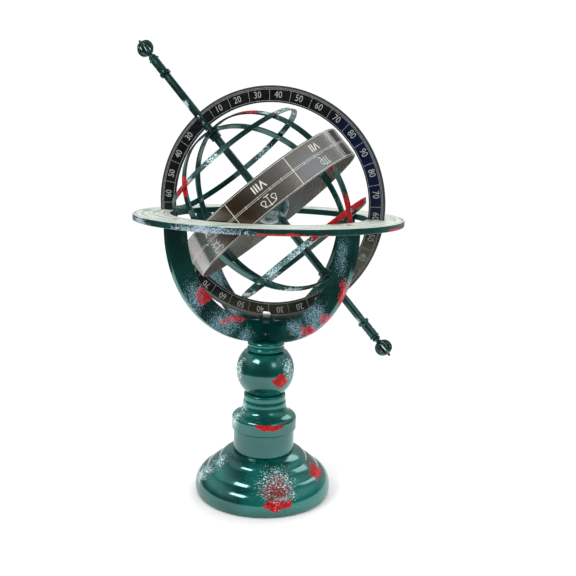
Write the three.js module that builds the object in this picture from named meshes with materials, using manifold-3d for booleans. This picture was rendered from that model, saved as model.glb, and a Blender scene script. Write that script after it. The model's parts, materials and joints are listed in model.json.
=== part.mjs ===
// An armillary sphere on a turned pedestal, in millimetres, +Z up.
// The origin is the middle of the felt under the foot. The meridian ring stands in the XZ plane.
import * as THREE from "three";
import { mergeVertices } from "three/addons/utils/BufferGeometryUtils.js";
import Module from "manifold-3d";

const wasm = await Module();
wasm.setup();

// ---------------------------------------------------------------- driving dimensions

const FIT = 0.3; // gap between pieces that touch

// Pedestal, from the table up.
const feltRadius = 60;
const feltThick = 1.5;
const footRadius = 70.7;
const footTorusHeight = 24.8; // the big roll at the bottom of the foot
const footTorusAcross = 16.7; // half width and half height of the roll's ellipse
const footTorusUp = 18.9;
const footTorusMiddle = 6.7; // the ellipse's middle, above the bottom of the foot
const footHeight = 43.5;
const footSeatRadius = 33.4; // flat top that carries the drum
const drumRadius = 31.5;
const drumHeight = 23.4;
const bellLipRadius = 33.6;
const bellLipHeight = 11;
const bellNeckRadius = 22.5;
const bellHeight = 37.7;
const bellFlareEnd = 0.6; // where the flare meets the neck, as a share of the height above the lip
const bellNeckStep = 0.7;
const ballRadius = 30;
const ballHeight = 43.7;
const ballMiddle = 23.7; // its centre, above its flat bottom
const collarRadius = 20.0;
const collarHeight = 11;
const collarGroove = 2.2; // depth of the groove between its two beads

// The tie rod that clamps the pedestal together.
const tieRadius = 2;
const nutPocketRadius = 14;
const nutPocketDepth = 12;
const washerRadius = 9;
const washerThick = 1.5;
const nutAcrossCorners = 8;
const nutThick = 3.2;
const tieTail = 1.5; // thread showing under the nut
const tieTopGap = 1; // end of the rod, below the end of its thread in the saddle

// Cradle: two half hoops, halved into each other under the ring.
const hoopDepth = 22;
const hoopThick = 6;
const hoopAzimuths = [THREE.MathUtils.degToRad(55), THREE.MathUtils.degToRad(145)];
const hoopInset = 2; // hoop's inner edge, outside the horizon's inner edge

// Horizon ring.
const horizonWidth = 35.7;
const horizonThick = 6.1;
const horizonEdge = 1.2; // chamfer of its rims
const horizonClearance = 0.7; // horizon's inner edge, outside the corners of the zodiac band
const notchClearance = 0.5;

// Meridian ring and the saddle that it slides in.
const meridianRadius = 115;
const meridianBand = 15.9;
const meridianThick = 3.5;
const meridianLift = 1.5; // its lowest point above the crossing of the hoops
const slotLength = 9;
const slotWidth = 5;
const slotInset = 4; // the slot's middle, in from the ring's rim
const saddleRadius = 8;
const saddleThick = 4.2;
const saddleGrip = 1.6; // how far its walls rise beside the ring
const lockScrewRadius = 1;
const lockHeadRadius = 1.5;
const lockScrewHeight = 7.5; // above the lowest point of the hoops

// Polar axis.
const poleTilt = THREE.MathUtils.degToRad(41.5); // from the vertical, at rest
const rodRadius = 4;
const northRodLength = 50.5; // from the ring's rim to the finial
const southRodLength = 33;
const forkWall = 0.4; // bottom of each fork's slot, clear of the ring's edge
const pinRadius = 1;
const pinHeadRadius = 1.7;
const pinHeadThick = 0.8;
const spigotRadius = 2.6;
const spigotLength = 8;
const axleCollarRadius = 5.6;
const axleCollarLength = 5;

// Finials.
const finialCollarRadius = 5.8;
const finialCollarLength = 3;
const finialSleeveRadius = 4.6;
const finialSleeveLength = 15.5;
const finialRingThick = 1.2;
const finialBulgeRadius = 4.3;
const finialNeckRadius = 2.2;
const finialStemLength = 26;
const finialCageRadius = 8.8;
const finialCageLength = 14.5;
const finialStraps = 6;
const strapRadius = 0.9;
const strapRoot = 1.6; // radius at which the straps leave the cage's foot
const cageFootRadius = 3;
const cageFootThick = 1.6;
const cageTipRadius = 2.4;
const finialTipLength = 3.5;

// The sphere that turns on the axle.
const globeRadius = 19.5;
const zodiacGap = 3.1; // band to the inside of the meridian ring
const zodiacWidth = 32;
const zodiacThick = 1.6;
const sphereTurn = THREE.MathUtils.degToRad(60);
const ribWidth = 7;
const ribThick = 1.8;
const ribCount = 4;
const ribPoleGap = 1.4; // from the axle to the end of a rib
const bossRadius = 8;
const bossThick = 2.4;
const parallelLatitude = THREE.MathUtils.degToRad(36.5);
const parallelWidth = 6;
const parallelThick = 1.4;
const rivetRadius = 1.1;
const rivetHeadRadius = 1.9;
const rivetHeadThick = 0.7;

// Horizon screws.
const screwRadius = 1.5;
const screwHeadRadius = 3;
const screwLength = 16;

// How many flats a round piece has, by its size.
const GROOVE_SIDES = 180;
const RING_SIDES = 56;
const BODY_SIDES = 32;
const GLOBE_SIDES = 20;
const SMALL_SIDES = 12;
const TINY_SIDES = 6;

const OVERSHOOT = 2; // how far a cutting tool reaches past what it cuts

// ---------------------------------------------------------------- derived sizes and places

const meridianInner = meridianRadius - meridianBand;
const zodiacRadius = meridianInner - zodiacGap;
const horizonInner = Math.hypot(zodiacRadius, zodiacWidth / 2) + horizonClearance;
const horizonRadius = horizonInner + horizonWidth;
const hoopInner = horizonInner + hoopInset;
const hoopRadius = hoopInner + hoopDepth;

const footBottom = feltThick + FIT;
const footTop = footBottom + footHeight;
const drumBottom = footTop + FIT;
const bellBottom = drumBottom + drumHeight + FIT;
const ballBottom = bellBottom + bellHeight + FIT;
const collarBottom = ballBottom + ballHeight + FIT;
const hoopBottom = collarBottom + collarHeight + FIT;
const hoopCentre = hoopBottom + hoopRadius;
const crossingTop = hoopCentre - hoopInner;
const horizonBottom = hoopCentre + FIT;
const centreHeight = crossingTop + meridianLift + meridianRadius;
const saddleFloor = crossingTop + meridianLift - FIT; // what the ring slides on
const saddleBottom = saddleFloor - saddleThick;
const boreRadius = tieRadius + FIT;

const ribRadius = zodiacRadius - zodiacThick - FIT;
const parallelInner = ribRadius + FIT;
const bossTop = Math.sqrt((ribRadius - ribThick - FIT) ** 2 - bossRadius ** 2);
const rodJoint = meridianRadius - meridianBand / 2; // the axle meets the outer rods inside the band
const finialFloor = { north: meridianRadius + northRodLength, south: meridianRadius + southRodLength };

// ---------------------------------------------------------------- materials

function finish(color, roughness, metalness) {
  return new THREE.MeshStandardMaterial({ color, roughness, metalness });
}
const paint = finish(0x0f5048, 0.3, 0.1);
const darkPaint = finish(0x0b3230, 0.32, 0.15);
const blackened = finish(0x15191a, 0.4, 0.7);
const gunmetal = finish(0x3a3d44, 0.35, 0.85);
const antiqueSilver = finish(0x85857f, 0.35, 0.8);
const steel = finish(0xb8b8b4, 0.3, 1);
const parchmentPaint = finish(0xcfd8c8, 0.5, 0);
const globePaint = finish(0x1d6b78, 0.3, 0);
const felt = finish(0x1c3a2c, 0.95, 0);

// ---------------------------------------------------------------- shared shapes

function solid(geometry) {
  const bare = geometry.clone();
  bare.deleteAttribute("normal");
  bare.deleteAttribute("uv");
  const merged = mergeVertices(bare, 1e-4);
  return new wasm.Manifold(
    new wasm.Mesh({
      numProp: 3,
      vertProperties: merged.attributes.position.array,
      triVerts: new Uint32Array(merged.index.array),
    }),
  );
}

function geometryOf(manifold) {
  const mesh = manifold.getMesh();
  const geometry = new THREE.BufferGeometry();
  geometry.setAttribute("position", new THREE.BufferAttribute(mesh.vertProperties, 3));
  geometry.setIndex(new THREE.BufferAttribute(mesh.triVerts, 1));
  geometry.computeVertexNormals();
  return geometry;
}

function cut(geometry, ...tools) {
  const left = tools.reduce((body, tool) => body.subtract(solid(tool)), solid(geometry));
  return geometryOf(left);
}

function join(...geometries) {
  return geometryOf(geometries.map(solid).reduce((body, piece) => body.add(piece)));
}

// Turns an outline, drawn as (radius, height) counterclockwise, round the Z axis.
function turned(path, segments, divisions = 3) {
  return new THREE.LatheGeometry(path.getPoints(divisions), segments).rotateX(Math.PI / 2);
}

function outline(...points) {
  return new THREE.Path(points.map(([r, z]) => new THREE.Vector2(r, z)));
}

// A round bar along +Z, centred on the axis.
function bar(radius, bottom, top, segments = SMALL_SIDES) {
  return turned(outline([0, bottom], [radius, bottom], [radius, top], [0, top]), segments);
}

// A tube or washer along +Z.
function tube(inner, outer, bottom, top, segments = SMALL_SIDES) {
  const profile = outline([inner, bottom], [outer, bottom], [outer, top], [inner, top], [inner, bottom]);
  return turned(profile, segments);
}

function box(x, y, z) {
  return new THREE.BoxGeometry(x, y, z);
}

// A bar with a head at each end, its middle at the origin.
function headedPin(radius, headRadius, headThick, grip) {
  const half = grip / 2;
  const profile = outline(
    [0, -half - headThick], [headRadius, -half - headThick], [headRadius, -half], [radius, -half],
    [radius, half], [headRadius, half], [headRadius, half + headThick], [0, half + headThick],
  );
  return turned(profile, TINY_SIDES);
}

// ---------------------------------------------------------------- pedestal

function feltPad() {
  return bar(feltRadius, 0, feltThick, BODY_SIDES);
}

function footGeometry() {
  const pocketTop = footBottom + nutPocketDepth;
  const torusCentre = footRadius - footTorusAcross;
  const torusMiddle = footBottom + footTorusMiddle;
  const torusStart = Math.asin(-footTorusMiddle / footTorusUp);
  const torusEnd = Math.asin(Math.min(1, (footTorusHeight - footTorusMiddle) / footTorusUp));
  const creaseRadius = torusCentre + footTorusAcross * Math.cos(torusEnd);
  const creaseHeight = footBottom + footTorusHeight;
  const rise = footTop - creaseHeight;
  const step = creaseRadius - footSeatRadius;
  const grooveRadius = creaseRadius - step / 2;
  const grooveHeight = creaseHeight + rise * 0.53;
  const path = outline([boreRadius, pocketTop], [nutPocketRadius, pocketTop], [nutPocketRadius, footBottom]);
  path.absellipse(torusCentre, torusMiddle, footTorusAcross, footTorusUp, torusStart, torusEnd, false, 0);
  path.quadraticCurveTo(creaseRadius - step * 0.19, creaseHeight + rise * 0.34, grooveRadius, grooveHeight);
  path.quadraticCurveTo(grooveRadius - step * 0.15, footTop - rise * 0.07, footSeatRadius, footTop);
  path.lineTo(boreRadius, footTop);
  path.lineTo(boreRadius, pocketTop);
  return turned(path, BODY_SIDES);
}

function drumGeometry() {
  return tube(boreRadius, drumRadius, drumBottom, drumBottom + drumHeight, BODY_SIDES);
}

function bellGeometry() {
  const top = bellBottom + bellHeight;
  const shoulder = bellBottom + bellLipHeight;
  const rise = top - shoulder;
  const neckBottom = shoulder + rise * bellFlareEnd;
  const stepTop = neckBottom + rise * 0.16;
  const waist = bellNeckRadius - bellNeckStep;
  const chamfer = 1.2;
  const path = outline([boreRadius, bellBottom], [bellLipRadius - chamfer, bellBottom]);
  path.lineTo(bellLipRadius, bellBottom + chamfer);
  path.lineTo(bellLipRadius, shoulder);
  const flareStart = bellLipRadius - rise * 0.19;
  path.quadraticCurveTo(bellLipRadius, shoulder + rise * 0.13, flareStart, shoulder + rise * 0.21);
  path.quadraticCurveTo(bellNeckRadius, shoulder + rise * 0.31, bellNeckRadius, neckBottom);
  path.lineTo(waist, stepTop);
  path.lineTo(waist, top - chamfer);
  path.lineTo(waist - chamfer, top);
  path.lineTo(boreRadius, top);
  path.lineTo(boreRadius, bellBottom);
  return turned(path, BODY_SIDES);
}

function ballGeometry() {
  const middle = ballBottom + ballMiddle;
  const top = ballBottom + ballHeight;
  const start = Math.asin(Math.max(-1, -ballMiddle / ballRadius));
  const end = Math.asin(Math.min(1, (ballHeight - ballMiddle) / ballRadius));
  const path = outline([boreRadius, ballBottom], [ballRadius * Math.cos(start), ballBottom]);
  path.absarc(0, middle, ballRadius, start, end, false);
  path.lineTo(boreRadius, top);
  path.lineTo(boreRadius, ballBottom);
  return turned(path, BODY_SIDES, 5);
}

// Two beads, one on the other. A bead's control point lies as far outside the bead as its root lies inside it.
function collarGeometry() {
  const middle = collarBottom + collarHeight / 2;
  const top = collarBottom + collarHeight;
  const groove = collarRadius - collarGroove;
  const control = collarRadius + collarGroove * 0.7;
  const path = outline([boreRadius, collarBottom], [groove, collarBottom]);
  path.quadraticCurveTo(control, (collarBottom + middle) / 2, groove, middle);
  path.quadraticCurveTo(control, (middle + top) / 2, groove, top);
  path.lineTo(boreRadius, top);
  path.lineTo(boreRadius, collarBottom);
  return turned(path, BODY_SIDES);
}

const washerBottom = footBottom + nutPocketDepth - FIT - washerThick;
const nutBottom = washerBottom - FIT - nutThick;

function washerGeometry() {
  return tube(boreRadius, washerRadius, washerBottom, washerBottom + washerThick);
}

function nutGeometry() {
  const top = nutBottom + nutThick;
  const bore = bar(boreRadius, nutBottom - OVERSHOOT, top + OVERSHOOT);
  return cut(bar(nutAcrossCorners, nutBottom, top, TINY_SIDES), bore);
}

function tieRodGeometry() {
  return bar(tieRadius, nutBottom - tieTail, saddleFloor - tieTopGap - FIT);
}

// ---------------------------------------------------------------- cradle

function hoopGeometry(lapFromBelow) {
  const half = hoopThick / 2;
  const band = new THREE.Shape();
  band.absarc(0, 0, hoopRadius, Math.PI, 2 * Math.PI, false);
  band.absarc(0, 0, hoopInner, 2 * Math.PI, Math.PI, true);
  const hoop = new THREE.ExtrudeGeometry(band, { depth: hoopThick, bevelEnabled: false, curveSegments: 16 })
    .translate(0, 0, -half)
    .rotateX(Math.PI / 2)
    .translate(0, 0, hoopCentre);
  const lapWidth = hoopThick + 2 * FIT;
  const lapHeight = hoopDepth / 2 + FIT / 2;
  const lapMiddle = lapFromBelow
    ? hoopBottom + (lapHeight - OVERSHOOT) / 2
    : crossingTop - (lapHeight - OVERSHOOT) / 2;
  const lap = box(lapWidth, lapWidth, lapHeight + OVERSHOOT).translate(0, 0, lapMiddle);
  const bore = bar(boreRadius, hoopBottom - OVERSHOOT, crossingTop + OVERSHOOT);
  const seat = bar(saddleRadius + FIT, saddleBottom - FIT, crossingTop + OVERSHOOT);
  const reach = (hoopInner + hoopRadius) / 2;
  const screwHoles = [reach, -reach].map((x) =>
    screwGeometry(FIT).translate(x, 0, horizonBottom + horizonThick),
  );
  return cut(hoop, lap, bore, seat, ...screwHoles);
}

function lockScrewHole() {
  return bar(lockScrewRadius + FIT, 0, hoopThick * 2, TINY_SIDES)
    .rotateY(Math.PI / 2)
    .rotateZ(Math.PI / 4 - Math.PI)
    .translate(0, 0, hoopBottom + lockScrewHeight);
}

function lockScrewGeometry() {
  const headMiddle = (hoopThick / 2 + FIT + lockHeadRadius) * Math.SQRT2;
  const head = new THREE.SphereGeometry(lockHeadRadius, TINY_SIDES, TINY_SIDES).translate(headMiddle, 0, 0);
  const shank = bar(lockScrewRadius, boreRadius + FIT, headMiddle, TINY_SIDES).rotateY(Math.PI / 2);
  return join(shank, head);
}

function saddleGeometry() {
  const top = saddleFloor + FIT + saddleGrip;
  const block = bar(saddleRadius, saddleBottom, top);
  const half = meridianThick / 2 + FIT;
  const groove = tube(meridianInner, meridianRadius + FIT, -half, half, GROOVE_SIDES)
    .rotateX(Math.PI / 2)
    .translate(0, 0, centreHeight);
  const thread = bar(boreRadius, saddleBottom - OVERSHOOT, saddleFloor - tieTopGap);
  return cut(block, groove, thread);
}

// ---------------------------------------------------------------- horizon

function horizonGeometry() {
  const top = horizonBottom + horizonThick;
  const e = horizonEdge;
  const ring = turned(
    outline(
      [horizonInner, horizonBottom], [horizonRadius - e, horizonBottom], [horizonRadius, horizonBottom + e],
      [horizonRadius, top - e], [horizonRadius - e, top], [horizonInner, top], [horizonInner, horizonBottom],
    ),
    RING_SIDES,
  );
  const notchDepth = meridianRadius + notchClearance;
  const notch = box(2 * notchDepth, meridianThick + 2 * notchClearance, horizonThick + OVERSHOOT)
    .translate(0, 0, horizonBottom + horizonThick / 2);
  const screwHoles = screwPlaces().map(([x, y]) =>
    screwGeometry(FIT).translate(x, y, top + FIT),
  );
  return cut(ring, notch, ...screwHoles);
}

function screwPlaces() {
  const reach = (hoopInner + hoopRadius) / 2;
  return hoopAzimuths.flatMap((a) => [a, a + Math.PI])
    .map((a) => [reach * Math.cos(a), reach * Math.sin(a)]);
}

// A countersunk screw hanging down from z = 0, or the hole for it when grown by a clearance.
function screwGeometry(grow) {
  const headDepth = screwHeadRadius - screwRadius;
  return turned(
    outline(
      [0, -screwLength - grow], [screwRadius + grow, -screwLength - grow],
      [screwRadius + grow, -headDepth - FIT], [screwHeadRadius + grow, -FIT],
      [screwHeadRadius + grow, 0], [0, 0],
    ),
    TINY_SIDES,
  );
}

// ---------------------------------------------------------------- meridian ring and polar axis

function meridianGeometry() {
  const half = meridianThick / 2;
  const ring = tube(meridianInner, meridianRadius, -half, half, RING_SIDES).rotateX(Math.PI / 2);
  const slotReach = meridianRadius - slotInset;
  const slot = new THREE.Shape();
  const straight = (slotLength - slotWidth) / 2;
  slot.absarc(straight, 0, slotWidth / 2, -Math.PI / 2, Math.PI / 2, false);
  slot.absarc(-straight, 0, slotWidth / 2, Math.PI / 2, 1.5 * Math.PI, false);
  const slotTool = new THREE.ExtrudeGeometry(slot, { depth: 2 * meridianThick, bevelEnabled: false })
    .translate(0, 0, -meridianThick)
    .rotateX(Math.PI / 2)
    .translate(0, 0, -slotReach)
    .rotateY(poleTilt);
  const pinHoles = pinPlaces().map((z) => pinHole().translate(0, 0, z));
  return cut(ring, slotTool, ...pinHoles);
}

function pinPlaces() {
  const quarter = meridianBand / 4;
  const reaches = [rodJoint - quarter, rodJoint + quarter];
  return [...reaches, ...reaches.map((reach) => -reach)];
}

function pinHole() {
  return bar(pinRadius + FIT, -2 * rodRadius, 2 * rodRadius, TINY_SIDES).rotateX(Math.PI / 2);
}

function pinGeometry() {
  return headedPin(pinRadius, pinHeadRadius, pinHeadThick, 2 * (rodRadius + FIT)).rotateX(Math.PI / 2);
}

// The slot that straddles the ring's plate, from one radius to another.
function forkSlot(from, to) {
  const wide = 2 * (rodRadius + OVERSHOOT);
  return box(wide, meridianThick + 2 * FIT, to - from).translate(0, 0, (from + to) / 2);
}

function axleGeometry() {
  const end = rodJoint - FIT / 2;
  const slotFrom = meridianInner - forkWall;
  const shaft = bar(rodRadius, -end, end);
  const holes = pinPlaces().filter((z) => Math.abs(z) < end).map((z) => pinHole().translate(0, 0, z));
  return cut(shaft, forkSlot(slotFrom, end + OVERSHOOT), forkSlot(-end - OVERSHOOT, -slotFrom), ...holes);
}

// Drawn pointing up +Z; the south rod is turned over.
function outerRodGeometry(reach) {
  const start = rodJoint + FIT / 2;
  const shaft = turned(
    outline(
      [0, start], [rodRadius, start], [rodRadius, reach - FIT], [spigotRadius, reach - FIT],
      [spigotRadius, reach + spigotLength], [0, reach + spigotLength],
    ),
    SMALL_SIDES,
  );
  const hole = pinHole().translate(0, 0, rodJoint + meridianBand / 4);
  return cut(shaft, forkSlot(start - OVERSHOOT, meridianRadius + forkWall), hole);
}

function axleCollarGeometry() {
  return tube(rodRadius + FIT, axleCollarRadius, 0, axleCollarLength);
}

function globeGeometry() {
  const ball = new THREE.SphereGeometry(globeRadius, GLOBE_SIDES, GLOBE_SIDES / 2).rotateX(Math.PI / 2);
  return cut(ball, bar(rodRadius + FIT, -globeRadius - OVERSHOOT, globeRadius + OVERSHOOT));
}

// ---------------------------------------------------------------- finials

// The turned stem, standing on z = 0, with the rod's spigot in its foot.
function finialStemGeometry() {
  const socket = spigotRadius + FIT;
  const collarTop = finialCollarLength;
  const sleeveTop = collarTop + finialSleeveLength;
  const ringRadius = finialSleeveRadius + finialRingThick / 2;
  const ringBottom = sleeveTop + finialRingThick / 3;
  const ringTop = ringBottom + finialRingThick;
  const lip = finialNeckRadius + finialRingThick / 2;
  const bulgeTop = finialStemLength - finialRingThick;
  const bulgeControl = 2 * finialBulgeRadius - (lip + finialNeckRadius) / 2;
  const path = outline(
    [socket, 0], [finialCollarRadius, 0], [finialCollarRadius, collarTop], [finialSleeveRadius, collarTop],
    [finialSleeveRadius, sleeveTop], [ringRadius, ringBottom], [ringRadius, ringTop], [lip, ringTop],
  );
  path.quadraticCurveTo(bulgeControl, (ringTop + bulgeTop) / 2, finialNeckRadius, bulgeTop);
  path.lineTo(lip, finialStemLength);
  path.lineTo(0, finialStemLength);
  path.lineTo(0, spigotLength + FIT);
  path.lineTo(socket, spigotLength + FIT);
  path.lineTo(socket, 0);
  return turned(path, SMALL_SIDES);
}

// The openwork bulb: curved straps between a small foot and a tip, standing on z = 0.
function finialCageGeometry() {
  const foot = bar(cageFootRadius, 0, cageFootThick, TINY_SIDES);
  const tipBottom = finialCageLength - cageTipRadius * 0.8;
  const tipTop = finialCageLength + finialTipLength;
  const tip = turned(
    outline(
      [0, tipBottom], [cageTipRadius, tipBottom], [cageTipRadius, finialCageLength],
      [cageTipRadius / 2, finialCageLength + finialTipLength * 0.2],
      [cageTipRadius * 0.65, finialCageLength + finialTipLength * 0.6], [0, tipTop],
    ),
    TINY_SIDES,
  );
  const straps = Array.from({ length: finialStraps }, (_, i) =>
    strapGeometry(cageFootThick / 2, finialCageLength - strapRadius).rotateZ((2 * Math.PI * i) / finialStraps),
  );
  return join(foot, tip, ...straps);
}

// A round strap in the XZ plane. A cubic curve reaches three quarters of the way to its two middle points.
function strapGeometry(bottom, top) {
  const bulge = (finialCageRadius - strapRadius - strapRoot / 4) * (4 / 3);
  const curve = new THREE.CubicBezierCurve3(
    new THREE.Vector3(strapRoot, 0, bottom),
    new THREE.Vector3(bulge, 0, bottom + strapRadius),
    new THREE.Vector3(bulge, 0, top - strapRadius),
    new THREE.Vector3(strapRoot, 0, top),
  );
  const section = new THREE.Shape();
  section.absarc(0, 0, strapRadius, 0, 2 * Math.PI, false);
  return new THREE.ExtrudeGeometry(section, { extrudePath: curve, steps: 6, curveSegments: 2 });
}

// ---------------------------------------------------------------- the turning sphere

// Half a circle of flat strip in the XZ plane, on the +X side, from pole to pole.
function ribGeometry() {
  const gap = Math.asin((rodRadius + ribPoleGap) / ribRadius);
  const band = new THREE.Shape();
  band.absarc(0, 0, ribRadius, gap - Math.PI / 2, Math.PI / 2 - gap, false);
  band.absarc(0, 0, ribRadius - ribThick, Math.PI / 2 - gap, gap - Math.PI / 2, true);
  const rib = new THREE.ExtrudeGeometry(band, { depth: ribWidth, bevelEnabled: false, curveSegments: 16 })
    .translate(0, 0, -ribWidth / 2)
    .rotateX(Math.PI / 2);
  const holes = [-parallelLatitude, 0, parallelLatitude].map((latitude) => rivetHole().rotateY(-latitude));
  return cut(rib, ...holes);
}

function rivetHole() {
  const bottom = ribRadius - 3 * ribThick;
  return bar(rivetRadius + FIT, bottom, zodiacRadius + ribThick, TINY_SIDES).rotateY(Math.PI / 2);
}

// A rivet lying along +X that holds a strip of some thickness to a rib.
function rivetGeometry(stripThick) {
  const grip = ribThick + stripThick + 3 * FIT;
  const middle = ribRadius - ribThick - FIT + grip / 2;
  return headedPin(rivetRadius, rivetHeadRadius, rivetHeadThick, grip)
    .rotateY(Math.PI / 2)
    .translate(middle, 0, 0);
}

function bossGeometry() {
  const seat = ribRadius - ribThick - FIT;
  const start = Math.acos(bossRadius / seat);
  const end = Math.acos((rodRadius + FIT) / seat);
  const bottom = bossTop - bossThick;
  const path = outline([rodRadius + FIT, bottom], [bossRadius, bottom]);
  path.absarc(0, 0, seat, start, end, false);
  path.lineTo(rodRadius + FIT, bottom);
  return turned(path, SMALL_SIDES, 2);
}

// A conical strip that lies on the ribs at its latitude.
function parallelGeometry() {
  const half = parallelWidth / 2;
  const inner = parallelInner;
  const outer = parallelInner + parallelThick;
  const along = new THREE.Vector2(Math.cos(parallelLatitude), Math.sin(parallelLatitude));
  const across = new THREE.Vector2(-along.y, along.x);
  const corner = (reach, side) => along.clone().multiplyScalar(reach).addScaledVector(across, side * half);
  const section = [corner(inner, -1), corner(outer, -1), corner(outer, 1), corner(inner, 1), corner(inner, -1)];
  const strip = new THREE.LatheGeometry(section, RING_SIDES).rotateX(Math.PI / 2);
  return cut(strip, ...rivetRing(parallelLatitude));
}

function zodiacGeometry() {
  const half = zodiacWidth / 2;
  const band = tube(zodiacRadius - zodiacThick, zodiacRadius, -half, half, RING_SIDES);
  return cut(band, ...rivetRing(0));
}

function rivetRing(latitude) {
  return Array.from({ length: ribCount }, (_, i) =>
    rivetHole().rotateY(-latitude).rotateZ((2 * Math.PI * i) / ribCount),
  );
}

// ---------------------------------------------------------------- assembly

function add(parent, name, geometry, material) {
  const mesh = new THREE.Mesh(geometry, material);
  mesh.name = name;
  parent.add(mesh);
  return mesh;
}

const armillary = new THREE.Group();

function buildStand() {
  const stand = new THREE.Group();
  add(stand, "felt_pad", feltPad(), felt);
  add(stand, "foot", footGeometry(), paint);
  add(stand, "drum", drumGeometry(), paint);
  add(stand, "bell", bellGeometry(), paint);
  add(stand, "ball_knop", ballGeometry(), paint);
  add(stand, "neck_collar", collarGeometry(), darkPaint);
  add(stand, "tie_washer", washerGeometry(), steel);
  add(stand, "tie_nut", nutGeometry(), steel);
  add(stand, "tie_rod", tieRodGeometry(), steel);
  const azimuth = hoopAzimuths[0];
  const screwHole = lockScrewHole().rotateZ(azimuth);
  ["cradle_hoop_lower", "cradle_hoop_upper"].forEach((name, i) => {
    const hoop = hoopGeometry(i === 1).rotateZ(hoopAzimuths[i]);
    add(stand, name, cut(hoop, screwHole), paint);
  });
  const lockScrew = add(stand, "cradle_lock_screw", lockScrewGeometry(), steel);
  lockScrew.position.z = hoopBottom + lockScrewHeight;
  lockScrew.rotation.z = azimuth + Math.PI / 4 - Math.PI;
  add(stand, "meridian_saddle", saddleGeometry(), blackened);
  add(stand, "horizon_ring", horizonGeometry(), parchmentPaint);
  screwPlaces().forEach(([x, y], i) => {
    const screw = add(stand, "horizon_screw_" + (i + 1), screwGeometry(0), steel);
    screw.position.set(x, y, horizonBottom + horizonThick);
  });
  return stand;
}

function buildPolarEnd(meridian, end, turn) {
  const reach = finialFloor[end];
  const side = new THREE.Group();
  side.rotation.x = turn;
  add(side, end + "_rod", outerRodGeometry(reach), blackened);
  add(side, end + "_finial_stem", finialStemGeometry(), blackened).position.z = reach;
  add(side, end + "_finial_cage", finialCageGeometry(), blackened).position.z = reach + finialStemLength + FIT;
  const collarPlace = bossTop - bossThick - FIT - axleCollarLength;
  add(side, end + "_axle_collar", axleCollarGeometry(), blackened).position.z = collarPlace;
  meridian.add(side);
}

function buildMeridian() {
  const meridian = new THREE.Group();
  meridian.position.z = centreHeight;
  meridian.rotation.y = -poleTilt;
  add(meridian, "meridian_ring", meridianGeometry(), gunmetal);
  add(meridian, "polar_axle", axleGeometry(), blackened);
  buildPolarEnd(meridian, "north", 0);
  buildPolarEnd(meridian, "south", Math.PI);
  pinPlaces().forEach((place, i) => {
    add(meridian, "fork_pin_" + (i + 1), pinGeometry(), steel).position.z = place;
  });
  add(meridian, "earth_globe", globeGeometry(), globePaint);
  meridian.add(buildSphere());
  return meridian;
}

function buildSphere() {
  const sphere = new THREE.Group();
  sphere.rotation.z = sphereTurn;
  for (let i = 0; i < ribCount; i += 1) {
    const turn = (2 * Math.PI * i) / ribCount;
    add(sphere, "sphere_rib_" + (i + 1), ribGeometry(), paint).rotation.z = turn;
    const rivet = rivetGeometry(zodiacThick).rotateZ(turn);
    add(sphere, "zodiac_rivet_" + (i + 1), rivet, steel);
    [["north", -parallelLatitude], ["south", parallelLatitude]].forEach(([end, lean]) => {
      const parallelRivet = rivetGeometry(parallelThick).rotateY(lean).rotateZ(turn);
      add(sphere, end + "_parallel_rivet_" + (i + 1), parallelRivet, steel);
    });
  }
  add(sphere, "north_pole_boss", bossGeometry(), blackened);
  add(sphere, "south_pole_boss", bossGeometry(), blackened).rotation.x = Math.PI;
  add(sphere, "north_parallel", parallelGeometry(), paint);
  add(sphere, "south_parallel", parallelGeometry(), paint).rotation.x = Math.PI;
  add(sphere, "zodiac_band", zodiacGeometry(), antiqueSilver);
  return sphere;
}

armillary.add(buildStand(), buildMeridian());

export default armillary;
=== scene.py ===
"""The looks of an armillary sphere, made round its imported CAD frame. Metres, +Z up.

Shapes are drawn in millimetres in the frame of the body they ride on, and placed in metres by build().
"""

import json
import math

import bmesh
import bpy
from mathutils import Matrix, Vector


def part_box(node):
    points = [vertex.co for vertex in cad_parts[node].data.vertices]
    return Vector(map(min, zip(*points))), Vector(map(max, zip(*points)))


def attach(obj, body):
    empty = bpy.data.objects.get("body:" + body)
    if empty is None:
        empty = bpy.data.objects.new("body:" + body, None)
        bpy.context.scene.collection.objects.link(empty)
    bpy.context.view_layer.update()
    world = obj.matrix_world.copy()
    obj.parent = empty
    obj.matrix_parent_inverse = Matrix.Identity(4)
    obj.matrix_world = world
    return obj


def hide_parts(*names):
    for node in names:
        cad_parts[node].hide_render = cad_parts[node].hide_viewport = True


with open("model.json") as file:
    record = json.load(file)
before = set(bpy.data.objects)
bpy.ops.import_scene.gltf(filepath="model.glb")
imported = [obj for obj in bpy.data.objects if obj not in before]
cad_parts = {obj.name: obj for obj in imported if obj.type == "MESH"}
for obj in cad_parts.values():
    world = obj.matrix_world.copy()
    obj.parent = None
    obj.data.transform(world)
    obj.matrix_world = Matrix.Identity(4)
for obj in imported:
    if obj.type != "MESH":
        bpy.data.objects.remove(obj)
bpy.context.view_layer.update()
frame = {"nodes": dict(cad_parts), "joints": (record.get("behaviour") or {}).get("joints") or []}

# ---------------- driving dimensions, in millimetres

MM = 0.001
FIT = 0.3  # gap between pieces that touch
OVERSHOOT = 4  # how far a cutting tool reaches past what it cuts

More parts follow.
